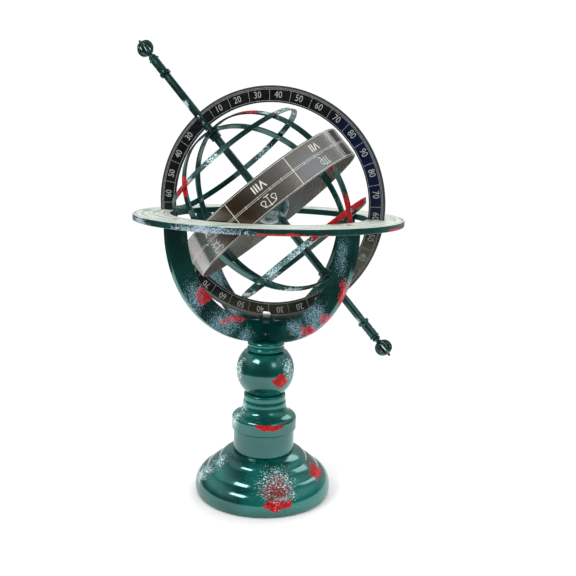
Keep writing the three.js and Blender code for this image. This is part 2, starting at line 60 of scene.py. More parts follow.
FOOT_SEAT_RADIUS = 33.4
FOOT_ROLL_HEIGHT = 24.8
FOOT_ROLL = (16.7, 18.9)  # half width and half height of the roll's ellipse
FOOT_ROLL_MIDDLE = 6.7  # its middle above the bottom of the foot
CREASE_PULL = (4, 0.34)  # pull of the curve that leaves the crease: in, and up as a share of the rise
GROOVE_RISE = 0.53
SEAT_PULL = (3.2, 1.5)  # pull of the curve that meets the seat: in from the groove, and down from the top
SEAT_EDGE = (0.8, 0.3)  # width and height of the seat's worn edge
BELL_LIP_HEIGHT = 11
BELL_NECK_RADIUS = 22.5
BELL_FLARE_END = 0.6  # where the flare meets the neck, as a share of the rise from the lip to the top
BELL_NECK_STEP = 0.7
NECK_STEP_ENDS = (0.1, 0.16, 0.18)  # heights on the step above the flare's end, as shares of the rise
FLARE_START = (0.19, 0.21)  # in from the lip and above it, as shares of the rise
FLARE_PULLS = (0.13, 0.31)  # heights of the pulls of the flare's two curves, as shares of the rise
BALL_MIDDLE = 23.7  # the ball's centre above its flat bottom
TIE_HOLE_RADIUS = 2.3
NUT_POCKET = (14, 12)  # radius and depth
LIP_WIDTH = 1.0  # in from the bell's edge to where its lip starts to round
LIP_ROUNDING = 1.2
NECK_ROUNDING = (1.4, 2.4)  # width and height
COLLAR_GROOVE = 1.9  # how deep the collar's grooves are
COLLAR_BULGES = (1.6, 0.9)  # how far the pull of each roll lies outside the collar

HOOP_INSET = 2  # from the horizon's hole out to the hoops
HOOP_THICK = 6
HOOP_DEPTH = 22
HOOP_AZIMUTHS = (math.radians(55), math.radians(145))
LAP_GAP = 0.05  # where the hoops are let into each other
HORIZON_WIDTH = 35.7
HORIZON_NOTCH_CLEARANCE = 0.5

MERIDIAN_RADIUS = 115
MERIDIAN_BAND = 15.9
MERIDIAN_THICK = 3.5
RIM_LINE = 111.5  # radius outside which the ring's face is worn bright
SLOT_SIZE = (9, 5)
SLOT_INSET = 4
SADDLE_RADIUS = 8

ROD_RADIUS = 4
AXLE_COLLAR = (5.6, 5)  # radius and length
NORTH_REACH = 165.5  # from the centre to the foot of the finial
SOUTH_REACH = 148
SPIGOT = (2.6, 8)
FORK_WALL = 0.4
PIN_RADIUS = 1
PIN_HEAD = (1.7, 0.8)
FINIAL_STEM_LENGTH = 26
FINIAL_CAGE_RADIUS = 8.8
FINIAL_CAGE_LENGTH = 14.5
FINIAL_STRAPS = 6

GLOBE_RADIUS = 19.5
ZODIAC_RADIUS = 96
ZODIAC_WIDTH = 32
ZODIAC_THICK = 1.6
SPHERE_TURN = math.radians(60)
RIB_RADIUS = 94.1
RIB_WIDTH = 7
RIB_THICK = 1.8
RIB_COUNT = 4
RIB_POLE_GAP = 1.4
BOSS = (8, 2.4)  # radius and thickness
BOSS_ROUNDING = 0.8
PARALLEL_LATITUDE = math.radians(36.5)
PARALLEL_WIDTH = 6
PARALLEL_THICK = 1.4
RIVET_RADIUS = 1.1
RIVET_HEAD = (1.9, 0.7)

SCREW_HEAD_RADIUS = 3
SCREW_RADIUS = 1.5
SCREW_LENGTH = 16
LOCK_HEAD_RADIUS = 1.5
LOCK_SHANK_RADIUS = 1

# How finely round things are divided.
RING_SEGMENTS = 192
BODY_SEGMENTS = 128
SMALL_SEGMENTS = 48
TINY_SEGMENTS = 24
SHARP_ANGLE = math.radians(32)

# ---------------- places, from the frame

JOINTS = {joint["name"]: joint for joint in frame["joints"]}
CENTRE = Vector(JOINTS["latitude_slide"]["pos_m"])
POLE = Vector(JOINTS["polar_spin"]["axis"])
POLE_TILT = math.atan2(-POLE.x, POLE.z)
STAND = Matrix.Identity(4)
MERIDIAN = Matrix.Translation(CENTRE) @ Matrix.Rotation(-POLE_TILT, 4, "Y")
SPHERE = MERIDIAN @ Matrix.Rotation(SPHERE_TURN, 4, "Z")
SOUTH_END = MERIDIAN @ Matrix.Rotation(math.pi, 4, "X")


def turned_size(node):
    """(radius, bottom, top) of a node that was turned about the Z axis, in millimetres."""
    low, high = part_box(node)
    return high.x / MM, low.z / MM, high.z / MM


HORIZON_RADIUS, HORIZON_BOTTOM, HORIZON_TOP = turned_size("horizon_ring")
HORIZON_INNER = HORIZON_RADIUS - HORIZON_WIDTH
HOOP_INNER = HORIZON_INNER + HOOP_INSET
HOOP_RADIUS = HOOP_INNER + HOOP_DEPTH
HOOP_CENTRE = HORIZON_BOTTOM - FIT
HOOP_BOTTOM = HOOP_CENTRE - HOOP_RADIUS
CROSSING_TOP = HOOP_CENTRE - HOOP_INNER
MERIDIAN_INNER = MERIDIAN_RADIUS - MERIDIAN_BAND
ROD_JOINT = MERIDIAN_RADIUS - MERIDIAN_BAND / 2
RIB_INSIDE = RIB_RADIUS - RIB_THICK - FIT

# ---------------- camera

CAMERA_PLACE = (0.1946, -0.7489, 0.3593)
CAMERA_YAW = math.radians(13.02)
CAMERA_PITCH = math.radians(-10.405)
CAMERA_ROLL = math.radians(1.73)
CAMERA_LENS = 48.49
CAMERA_SENSOR = 36


def new_object(name, data):
    """An object that is in the scene."""
    made = bpy.data.objects.new(name, data)
    bpy.context.scene.collection.objects.link(made)
    return made


def make_camera():
    data = bpy.data.cameras.new("camera")
    data.lens = CAMERA_LENS
    data.sensor_width = CAMERA_SENSOR
    camera = new_object("camera", data)
    turn = Matrix.Rotation(CAMERA_YAW, 4, "Z") @ Matrix.Rotation(math.pi / 2 + CAMERA_PITCH, 4, "X")
    camera.matrix_world = Matrix.Translation(CAMERA_PLACE) @ turn @ Matrix.Rotation(CAMERA_ROLL, 4, "Z")
    bpy.context.scene.camera = camera


make_camera()

# ---------------- outlines, as lists of (radius, height)


def arc(middle, radii, start, end, steps):
    """Points along part of an ellipse."""
    points = []
    for i in range(steps + 1):
        angle = start + (end - start) * i / steps
        points.append((middle[0] + radii[0] * math.cos(angle), middle[1] + radii[1] * math.sin(angle)))
    return points


def bend(start, control, end, steps=10):
    """Points along a quadratic curve, without its first point."""
    points = []
    for i in range(1, steps + 1):
        t = i / steps
        weights = ((1 - t) ** 2, 2 * t * (1 - t), t * t)
        points.append(tuple(sum(w * p[k] for w, p in zip(weights, (start, control, end))) for k in (0, 1)))
    return points


MOST_OF_EDGE = 0.35  # the most of an edge that a rounding takes
FLAT_HOLD = 1.3  # from a corner to the point that keeps a flat flat, over the rounding's reach


def softened(corners, radius, steps=4):
    """A closed outline with rounded corners, and points beside each rounding that keep the flats flat."""
    points = []
    for i, corner in enumerate(corners):
        here = Vector(corner)
        before = Vector(corners[i - 1]) - here
        after = Vector(corners[(i + 1) % len(corners)]) - here
        reach = min(radius, before.length * MOST_OF_EDGE, after.length * MOST_OF_EDGE)
        start = here + before.normalized() * reach
        end = here + after.normalized() * reach
        points.append(tuple(here + before.normalized() * reach * FLAT_HOLD))
        points.append(tuple(start))
        points.extend(bend(start, here, end, steps))
        points.append(tuple(here + after.normalized() * reach * FLAT_HOLD))
    return points


def rectangle(inner, outer, bottom, top):
    return [(inner, bottom), (outer, bottom), (outer, top), (inner, top)]


# ---------------- solids, in millimetres

MERGE_DISTANCE = 1e-4
TIPPED = Matrix.Rotation(math.pi / 2, 4, "X")  # turns what lies level up into the XZ plane
SIDEWAYS = Matrix.Rotation(math.pi / 2, 4, "Y")  # turns what stands along Z to point along X


def revolve(outline, segments, start=0.0, sweep=2 * math.pi):
    """A closed outline, or one that ends on the axis, turned about Z."""
    full = math.isclose(sweep, 2 * math.pi)
    solid = bmesh.new()
    rings = []
    for i in range(segments if full else segments + 1):
        angle = start + sweep * i / segments
        rings.append([solid.verts.new((r * math.cos(angle), r * math.sin(angle), z)) for r, z in outline])
    for i in range(segments):
        near = rings[i]
        far = rings[(i + 1) % len(rings)]
        for j in range(len(outline)):
            k = (j + 1) % len(outline)
            solid.faces.new((near[j], far[j], far[k], near[k]))
    if not full:
        solid.faces.new(rings[0])
        solid.faces.new(rings[-1])
    bmesh.ops.remove_doubles(solid, verts=solid.verts, dist=MERGE_DISTANCE)
    bmesh.ops.recalc_face_normals(solid, faces=solid.faces)
    return solid


def block(size, middle=(0, 0, 0)):
    solid = bmesh.new()
    bmesh.ops.create_cube(solid, size=1)
    solid.transform(Matrix.Translation(middle) @ Matrix.Diagonal((*size, 1)))
    return solid


def shaft(radius, bottom, top, segments=SMALL_SEGMENTS, edge=0.3):
    """A round bar along Z with softened ends."""
    outline = [(0, bottom), (radius - edge, bottom)]
    outline += bend((radius - edge, bottom), (radius, bottom), (radius, bottom + edge), 3)
    outline.append((radius, top - edge))
    outline += bend((radius, top - edge), (radius, top), (radius - edge, top), 3)
    outline.append((0, top))
    return revolve(outline, segments)


def tube_along(path, radii, sides=10):
    """A closed tube of an elliptical section along a path that lies in the XZ plane."""
    solid = bmesh.new()
    rings = []
    for i, point in enumerate(path):
        ahead = path[min(i + 1, len(path) - 1)] - path[max(i - 1, 0)]
        outward = Vector((ahead.z, 0, -ahead.x)).normalized()
        ring = []
        for j in range(sides):
            angle = 2 * math.pi * j / sides
            sideways = Vector((0, radii[1] * math.sin(angle), 0))
            ring.append(point + outward * radii[0] * math.cos(angle) + sideways)
        rings.append([solid.verts.new(place) for place in ring])
    for near, far in zip(rings, rings[1:]):
        for j in range(sides):
            k = (j + 1) % sides
            solid.faces.new((near[j], near[k], far[k], far[j]))
    solid.faces.new(rings[0])
    solid.faces.new(rings[-1])
    bmesh.ops.recalc_face_normals(solid, faces=solid.faces)
    return solid


def moved(solid, matrix):
    solid.transform(matrix)
    return solid


def mesh_of(name, solid):
    """The solid as a mesh. The solid is freed."""
    mesh = bpy.data.meshes.new(name)
    solid.to_mesh(mesh)
    solid.free()
    return mesh


def solid_of(mesh, solid=None):
    """The mesh as a solid, or added to one. The mesh is removed."""
    solid = bmesh.new() if solid is None else solid
    solid.from_mesh(mesh)
    bpy.data.meshes.remove(mesh)
    return solid


def evaluated_mesh(held):
    """A new mesh of an object with its modifiers, or of its letters."""
    return bpy.data.meshes.new_from_object(held.evaluated_get(bpy.context.evaluated_depsgraph_get()))


def joined(*solids):
    """Several solids in one, each still closed."""
    whole = bmesh.new()
    for solid in solids:
        solid_of(mesh_of("part", solid), whole)
    return whole


def carved(solid, *tools):
    """A solid with the tools cut out of it."""
    body, *cutters = [new_object("scratch", mesh_of("scratch", shape)) for shape in (solid, *tools)]
    for cutter in cutters:
        cut = body.modifiers.new("cut", "BOOLEAN")
        cut.operation = "DIFFERENCE"
        cut.solver = "EXACT"
        cut.object = cutter
    left = solid_of(evaluated_mesh(body))
    for held in (body, *cutters):
        data = held.data
        bpy.data.objects.remove(held)
        bpy.data.meshes.remove(data)
    return left


def build(name, solid, place, body, slot, *replaced, finish=None):
    """Makes a named piece from a solid drawn in millimetres, and places it on its body.

    Its finish is the one named like its slot, unless another is asked for.
    """
    solid.transform(place @ Matrix.Scale(MM, 4))
    for face in solid.faces:
        face.smooth = True
    for edge in solid.edges:
        edge.smooth = len(edge.link_faces) == 2 and edge.calc_face_angle() < SHARP_ANGLE
    data = mesh_of(name, solid)
    data.materials.clear()
    data.materials.append(FINISHES[finish or slot])
    piece = new_object(name, data)
    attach(piece, body)
    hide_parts(*replaced)


# ---------------- material nodes


def colour_of(code):
    """A hex colour as linear RGBA."""
    channels = [int(code[i : i + 2], 16) / 255 for i in (0, 2, 4)]
    linear = [c / 12.92 if c <= 0.04045 else ((c + 0.055) / 1.055) ** 2.4 for c in channels]
    return (*linear, 1)


class Nodes:
    """A node tree, with short calls for the nodes that the finishes share."""

    def __init__(self, tree):
        self.tree = tree
        self.coordinates = tree.nodes.new("ShaderNodeTexCoord")

    def node(self, kind, inputs, **settings):
        made = self.tree.nodes.new(kind)
        for key, value in settings.items():
            setattr(made, key, value)
        for key, value in inputs.items():
            self.feed(made.inputs[key], value)
        return made

    def feed(self, socket, value):
        """Links a socket to the input, or sets the input to a value or a hex colour."""
        if isinstance(value, bpy.types.NodeSocket):
            self.tree.links.new(value, socket)
        else:
            socket.default_value = colour_of(value) if isinstance(value, str) else value

    def math(self, operation, a, b=0.0):
        return self.node("ShaderNodeMath", {0: a, 1: b}, operation=operation).outputs[0]

    def mix(self, factor, a, b):
        made = self.node("ShaderNodeMix", {0: factor, 6: a, 7: b}, data_type="RGBA")
        return made.outputs[2]

    def range(self, value, low, high, to_low=0.0, to_high=1.0):
        inputs = {"Value": value, "From Min": low, "From Max": high, "To Min": to_low, "To Max": to_high}
        return self.node("ShaderNodeMapRange", inputs, interpolation_type="SMOOTHSTEP").outputs[0]

    def blend(self, value, low, high, a, b, most=1.0):
        """Goes from colour a to b as the value goes from low to high, with no more than this share of b."""
        return self.mix(self.range(value, low, high, 0.0, most), a, b)


class Recipe(Nodes):
    """A material's nodes, which end in its shader."""

    def __init__(self, name):
        self.material = bpy.data.materials.new(name)
        self.material.use_nodes = True
        super().__init__(self.material.node_tree)
        self.shader = self.tree.nodes["Principled BSDF"]
        self.place = self.coordinates.outputs["Object"]

    def set(self, **values):
        """Puts values or sockets on the shader, by the socket's name with underscores."""
        for key, value in values.items():
            self.feed(self.shader.inputs[key.replace("_", " ")], value)

    def vector(self, operation, a, b=(0, 0, 0)):
        return self.node("ShaderNodeVectorMath", {0: a, 1: b}, operation=operation).outputs[0]

    def length(self, vector):
        return self.node("ShaderNodeVectorMath", {0: vector}, operation="LENGTH").outputs["Value"]

    def noise(self, scale, detail=2.0, roughness=0.5, vector=None):
        """Noise with features of 1/scale metres, as (number, colour)."""
        inputs = {"Vector": vector or self.place, "Scale": scale, "Detail": detail, "Roughness": roughness}
        made = self.node("ShaderNodeTexNoise", inputs)
        return made.outputs[0], made.outputs[1]

    def warped(self, scale, reach):
        """The place, pushed about by noise, in metres."""
        push = self.vector("SUBTRACT", self.noise(scale)[1], (0.5, 0.5, 0.5))
        return self.vector("ADD", self.place, self.vector("MULTIPLY", push, (reach, reach, reach)))

    def cover(self, spots, place):
        """How deep a place is inside any spot: 1 at its middle, 0 at its edge, -1 far outside."""
        depth = -1.0
        for middle, size in spots:
            offset = self.vector("SUBTRACT", place, tuple(c * MM for c in middle))
            scaled = self.vector("DIVIDE", offset, tuple(c * MM for c in size))
            inside = self.math("SUBTRACT", 1.0, self.length(scaled))
            depth = self.math("MAXIMUM", depth, inside)
        return depth

    def bump(self, height, distance, strength=1.0):
        inputs = {"Height": height, "Distance": distance, "Strength": strength}
        self.set(Normal=self.node("ShaderNodeBump", inputs).outputs[0])


SPOT_RADIUS = RIB_RADIUS + 2  # where spots of paint on the straps are centred


def on_sphere(longitude, latitude, radius=SPOT_RADIUS):
    """A place on the turning sphere at rest, in millimetres in the whole object's frame."""
    lon, lat = math.radians(longitude), math.radians(latitude)
    local = Vector((math.cos(lat) * math.cos(lon), math.cos(lat) * math.sin(lon), math.sin(lat))) * radius
    return tuple((MERIDIAN @ (local * MM)) / MM)


# ---------------- finishes

PALE = "e6f2f4"
ICE = "8fbcc4"
VEIL = ("5f8a98", "8fa9ba")
RED = "c20812"
DARK_RED = "7a0810"
OUTER_SPOT_RADIUS = SPOT_RADIUS + 2
TEAL_SHEEN = (0.5, 1.0, 0.95, 1)  # the varnish tints what it reflects face on
RED_SHEEN = (1.0, 0.12, 0.12, 1)


def sponged(recipe, depth, scale, thick=0.5):
    """Where sponged paint lies: fine grains, close together inside a spot and sparse at its edge."""
    grain = recipe.noise(scale, 3, 0.6)[0]
    density = recipe.range(depth, -0.1, 0.9, 0.0, thick)
    return recipe.range(recipe.math("ADD", grain, recipe.math("MULTIPLY", density, 0.5)), 0.725, 0.755)


def torn(recipe, depth, grain, edge=0.5):
    """Where a smear of thick paint lies: whole in the middle, with a ragged edge."""
    return recipe.range(recipe.math("ADD", depth, grain), edge + 0.1, edge + 0.16)


def worn_enamel(name, deep, bright, pale_spots, red_spots,
                red_flecks=(), sponge=(ICE, PALE), grain_scale=760):
    """Glossy teal enamel with sponged pale grains, smears of red and sponged dark red; some pale spots are
    painted highlights.
    """
    recipe = Recipe(name)
    place = recipe.warped(90, 0.012)
    cloud = recipe.noise(22, 3)[0]
    colour = recipe.blend(cloud, 0.35, 0.7, deep, bright)

    smear_grain = recipe.noise(330, 4, 0.7)[0]
    red = torn(recipe, recipe.cover(red_spots, place), smear_grain)
    red_colour = recipe.blend(smear_grain, 0.4, 0.62, DARK_RED, RED)
    colour = recipe.mix(red, colour, red_colour)

    pale = sponged(recipe, recipe.cover(pale_spots, place), grain_scale)
    tone = recipe.noise(260, 3)[0]
    colour = recipe.mix(pale, colour, recipe.blend(tone, 0.4, 0.6, *sponge))
    if red_flecks:
        flecks = sponged(recipe, recipe.cover(red_flecks, place), 690, 0.7)
        colour = recipe.mix(flecks, colour, DARK_RED)

    # The pale and red marks, wear and painted highlights alike, make the enamel rougher and raised.
    wear_and_painted_light = recipe.math("MAXIMUM", pale, red)
    recipe.set(Base_Color=colour, Roughness=recipe.range(wear_and_painted_light, 0, 1, 0.13, 0.42))
    sheen = recipe.mix(red, TEAL_SHEEN, RED_SHEEN)
    recipe.set(IOR=2.05, Specular_Tint=sheen)
    ripple = recipe.noise(70, 2)[0]
    height = recipe.math("ADD", recipe.math("MULTIPLY", wear_and_painted_light, 0.5), recipe.math("MULTIPLY", ripple, 0.6))
    recipe.bump(height, 0.0002, 0.6)
    return recipe.material


def pedestal_enamel():
    pale = [
        ((29, -50, 29), (34, 32, 30)), ((-56, -32, 24), (26, 24, 22)), ((-40, -28, 38), (19, 18, 14)),
        # Painted highlights: the two spots at the ball's left and right edges, at heights 136 and 138,
        # stand for highlights, laid as sponged pale grains.
        ((-23, -18, 136), (15, 14, 24)), ((27, -10, 138), (15, 14, 20)), ((-25, -20, 83), (16, 16, 20)),
        # The thin spot on the front of the collar's top, at height 164, lays a pale band along its edge.
        ((-18, -14, 94), (11, 11, 11)), ((7, -18, 164), (13, 8, 3)), ((20, 52, 28), (22, 16, 14)),
        ((-40, 40, 24), (16, 16, 16)), ((-8, 28, 136), (14, 10, 11)), ((10, 32, 84), (14, 10, 10)),
    ]
    red = [
        ((32, -62, 13.4), (18, 13, 5.2)), ((18, -30, 80), (24, 12, 3.4)),
        ((23, -20, 126.5), (9.5, 9.5, 7.5)),
        ((56, -4, 28), (9, 14, 9)), ((-14, 66, 15), (14, 10, 4)), ((-27, 12, 124), (6, 9, 6)),
    ]
    flecks = [((30, -54, 27), (27, 25, 22)), ((16, 58, 24), (12, 10, 8))]
    return worn_enamel("pedestal_enamel", "012b27", "035d55", pale, red, flecks)


# A darker copy of the pedestal's enamel for the hoops, which carry the same paint: its darker base colours
# are painted shade; its pale veil and red spots are wear.
def cradle_enamel():
    pale = [
        ((-33, -48, 187), (38, 38, 28)), ((-54, -76, 216), (24, 24, 34)), ((-16, -24, 172), (20, 20, 14)),
        ((60, -44, 200), (34, 30, 30)), ((40, -30, 184), (28, 24, 20)), ((86, -62, 262), (13, 13, 34)),
        ((92, -64, 228), (10, 14, 30)), ((40, 60, 190), (36, 36, 26)), ((-66, 46, 214), (32, 30, 28)),
        ((-40, 30, 184), (30, 26, 20)),
    ]
    red = [
        ((-45, -66, 219), (10, 12, 11)), ((-25, -37, 190), (17, 20, 5)), ((56, -41, 184), (18, 12, 7)),
        ((89, -62, 222), (8, 9, 24)), ((70, -50, 200), (8, 8, 10)), ((-84, 60, 226), (8, 10, 16)),
        ((56, 82, 230), (9, 9, 12)),
    ]
    return worn_enamel("cradle_enamel", "011e1c", "043a34", pale, red, sponge=VEIL, grain_scale=1150)


def strap_enamel():
    north = math.degrees(PARALLEL_LATITUDE)
    pale = [
        (on_sphere(-88, north), (15, 15, 15)), (on_sphere(-110, north), (9, 9, 9)),
        (on_sphere(-14, north), (34, 34, 26)),
        (on_sphere(18, north), (20, 20, 20)), (on_sphere(-80, -north), (28, 28, 28)),
        (on_sphere(-104, -north), (22, 22, 22)), (on_sphere(-142, -north), (12, 12, 12)),
        (on_sphere(-174, 24), (14, 18, 34)), (on_sphere(-120, -58), (22, 18, 12)),
        (on_sphere(80, north), (20, 20, 20)), (on_sphere(140, -north), (22, 22, 22)),
    ]
    red = [
        (on_sphere(-120, north), (15, 15, 11)), (on_sphere(-37, -north), (32, 32, 20)),
        (on_sphere(-58, -north), (16, 16, 16)),
        (on_sphere(-8, -north), (22, 22, 14)), (on_sphere(-33, 58, OUTER_SPOT_RADIUS), (22, 22, 5.4)),
        (on_sphere(-30, -5, OUTER_SPOT_RADIUS), (5.5, 5.5, 24)),
        (on_sphere(-84, -56, OUTER_SPOT_RADIUS), (20, 8, 6)),
        (on_sphere(150, 4, OUTER_SPOT_RADIUS), (8, 8, 22)),
    ]
    return worn_enamel("strap_enamel", "011715", "04332e", pale, red)


def horizon_enamel():
    """Teal on the rim and underside, streaky cream-green on top, with the rim's front worn pale and red."""
    recipe = Recipe("horizon_enamel")
    place = recipe.warped(70, 0.012)
    parts = recipe.node("ShaderNodeSeparateXYZ", {0: recipe.place})
    x, y = parts.outputs[:2]
    radius = recipe.length(recipe.node("ShaderNodeCombineXYZ", {0: x, 1: y}).outputs[0])
    bearing = recipe.math("MULTIPLY", recipe.math("ARCTAN2", y, x), 0.004)
    lathed = recipe.node("ShaderNodeCombineXYZ", {0: radius, 1: bearing}).outputs[0]
    streak = recipe.noise(900, 4, 0.6, vector=lathed)[0]
    cloud = recipe.noise(30, 4)[0]
    cream = recipe.blend(streak, 0.38, 0.62, "aebcac", "f2f4ea")
    cream = recipe.blend(cloud, 0.54, 0.72, cream, "4a857a", 0.6)
    teal = recipe.blend(cloud, 0.35, 0.7, "01231f", "043d36")
    up = recipe.node("ShaderNodeSeparateXYZ", {0: recipe.coordinates.outputs["Normal"]}).outputs[2]
    top = recipe.range(up, 0.55, 0.9)
    colour = recipe.mix(top, teal, cream)

    grain = recipe.noise(420, 4, 0.7)[0]
    pale_spots = [
        ((-26, -131, 285), (78, 22, 12)), ((-100, -90, 286), (34, 38, 9)), ((-132, 10, 288), (12, 40, 8)),
        ((60, 120, 288), (50, 20, 8)),
    ]
    red_spots = [
        ((54, -122, 283.2), (46, 26, 4)), ((131, -34, 284), (14, 22, 2.4)),
        ((-60, 118, 285), (30, 20, 3.4)),
    ]
    side = recipe.math("SUBTRACT", 1.0, top)
    pale = recipe.math("MULTIPLY", sponged(recipe, recipe.cover(pale_spots, place), 800, 0.6), side)
    colour = recipe.mix(pale, colour, "a3b0c0")
    red = torn(recipe, recipe.cover(red_spots, place), grain)
    colour = recipe.mix(red, colour, recipe.blend(grain, 0.38, 0.6, DARK_RED, RED))
    recipe.set(Base_Color=colour, Roughness=recipe.range(top, 0, 1, 0.32, 0.42))
    recipe.set(IOR=1.7, Specular_Tint=TEAL_SHEEN)
    recipe.bump(recipe.math("ADD", streak, recipe.math("MULTIPLY", pale, 0.4)), 0.00015, 0.5)
    return recipe.material


def gunmetal():
    """Dark metal, near black at the top, with painted blue light on one side and a heat tint of olive
    below.
    """
    recipe = Recipe("gunmetal")
    place = recipe.warped(20, 0.02)
    brushed = recipe.noise(240, 4, 0.6)[0]
    colour = recipe.blend(brushed, 0.3, 0.7, "14171a", "262a2c")
    # Painted light: the blue on the ring's upper right side stands for blue light falling on it.
    blue_reflection = recipe.range(recipe.cover([((104, 0, 356), (64, 60, 84))], place), 0, 0.6)
    colour = recipe.mix(blue_reflection, colour, "16244c")
    olive = recipe.cover([((60, 0, 205), (44, 50, 30)), ((-10, 0, 192), (90, 50, 24))], place)
    colour = recipe.blend(olive, 0, 0.6, colour, "3c4034")
    straw = recipe.cover([((98, 0, 250), (30, 50, 36))], place)
    colour = recipe.blend(straw, 0, 0.7, colour, "77766a")
    radius = recipe.length(recipe.vector("SUBTRACT", recipe.place, tuple(CENTRE)))
    rim = recipe.range(radius, (RIM_LINE - 0.2) * MM, (RIM_LINE + 0.2) * MM, 0, 0.55)
    colour = recipe.mix(rim, colour, "6f7274")
    smudge = recipe.noise(60, 3)[0]
    recipe.set(Base_Color=colour, Metallic=0.75, Roughness=recipe.range(smudge, 0.3, 0.7, 0.26, 0.42))
    recipe.set(IOR=1.5, Coat_Weight=0.15, Coat_Roughness=0.2, Coat_IOR=1.5)
    recipe.bump(brushed, 0.00006, 0.4)
    return recipe.material


def antique_silver():
    """The zodiac band: polished dark silver with a faint painted brown reflection on its front, and fine
    scratches along it.
    """
    recipe = Recipe("antique_silver")
    cloud = recipe.noise(14, 2)[0]
    colour = recipe.blend(cloud, 0.35, 0.65, "a0a4a6", "918d85")
    # Painted reflection: a brown spot on the band's front.
    brown_reflection = recipe.cover([(on_sphere(-92, 0), (52, 52, 52))], recipe.place)
    colour = recipe.blend(brown_reflection, 0, 0.9, colour, "4a3418", 0.9)
    scratch = recipe.noise(500, 4, 0.7)[0]
    colour = recipe.blend(scratch, 0.6, 0.8, colour, "3f3a33", 0.35)
    recipe.set(Base_Color=colour, Metallic=0.8, Roughness=recipe.range(scratch, 0.3, 0.7, 0.18, 0.28))
    recipe.bump(scratch, 0.00003, 0.3)
    return recipe.material


def engraving(name, code):
    """Pale metal that shows in an engraved line."""
    recipe = Recipe(name)
    grain = recipe.noise(500, 3)[0]
    light = colour_of(code)
    dim = tuple(c * 0.72 for c in light[:3]) + (1,)
    recipe.set(Base_Color=recipe.blend(grain, 0.35, 0.65, dim, light), Metallic=0.2)
    recipe.set(Roughness=recipe.range(grain, 0.3, 0.7, 0.4, 0.55))
    return recipe.material


def blackened_steel():
    """Rods and finials: nearly black green enamel over steel, with a few bare patches."""
    recipe = Recipe("blackened_steel")
    place = recipe.warped(120, 0.006)
    cloud = recipe.noise(60, 4)[0]
    colour = recipe.blend(cloud, 0.35, 0.65, "031412", "082e2a")
    grain = recipe.noise(700, 4, 0.65)[0]
    bare_spots = [((-89, -3, 394), (8, 6, 8)), ((-62, 0, 370), (7, 6, 5)), ((96, 0, 190), (8, 7, 8))]
    depth = recipe.math("MINIMUM", recipe.math("MAXIMUM", recipe.cover(bare_spots, place), 0.0), 0.5)
    bare = recipe.range(recipe.math("ADD", grain, recipe.math("MULTIPLY", depth, 0.7)), 0.68, 0.72)
    colour = recipe.mix(bare, colour, "b9cfd0")
    recipe.set(Base_Color=colour, Metallic=0.1, Roughness=recipe.range(grain, 0.3, 0.7, 0.22, 0.4))
    recipe.set(IOR=1.9, Specular_Tint=TEAL_SHEEN)
    recipe.bump(recipe.math("ADD", cloud, recipe.math("MULTIPLY", bare, 0.4)), 0.0002, 0.5)
    return recipe.material


def steel():
    recipe = Recipe("steel")
    grain = recipe.noise(380, 4, 0.6)[0]
    colour = recipe.blend(grain, 0.35, 0.7, "c2c4c2", "7c7a74")
    recipe.set(Base_Color=colour, Metallic=0.95, Roughness=recipe.range(grain, 0.3, 0.7, 0.2, 0.42))
    recipe.bump(grain, 0.00005, 0.4)
    return recipe.material


def globe_enamel():
    """A small earth under clear glass-like varnish: seas, lands and clouds without any real map."""
    recipe = Recipe("globe_enamel")
    place = recipe.warped(60, 0.01)
    lands = recipe.noise(75, 5, 0.6, vector=place)[0]
    clouds = recipe.noise(110, 4, 0.6)[0]
    sea = recipe.blend(clouds, 0.3, 0.7, "06222c", "15505a")
    land = recipe.blend(clouds, 0.4, 0.6, "0e3a33", "2f5f55")
    colour = recipe.blend(lands, 0.50, 0.53, sea, land)
    colour = recipe.blend(clouds, 0.62, 0.74, colour, "8fc0c6", 0.4)
    recipe.set(Base_Color=colour, Roughness=recipe.range(lands, 0.4, 0.6, 0.25, 0.4))
    recipe.set(IOR=1.5, Coat_Weight=1.0, Coat_Roughness=0.02, Coat_IOR=1.9)
    recipe.bump(recipe.range(lands, 0.49, 0.54), 0.00015, 0.5)
    return recipe.material


def felt():
    recipe = Recipe("felt")
    fibre = recipe.noise(900, 5, 0.7)[0]
    colour = recipe.blend(fibre, 0.3, 0.7, "12281d", "2a5240")
    recipe.set(Base_Color=colour, Roughness=recipe.range(fibre, 0.3, 0.7, 0.85, 1.0))
    recipe.set(Sheen_Weight=0.4, Sheen_Roughness=0.5)
    recipe.bump(fibre, 0.0004, 0.8)
    return recipe.material


FINISHES = {make.__name__: make() for make in (
    pedestal_enamel, cradle_enamel, strap_enamel, horizon_enamel, gunmetal, antique_silver,
    blackened_steel, steel, globe_enamel, felt,
)}
for name, code in (("grey_engraving", "abaea9"), ("pale_engraving", "e9e6da")):
    FINISHES[name] = engraving(name, code)

# ---------------- pedestal


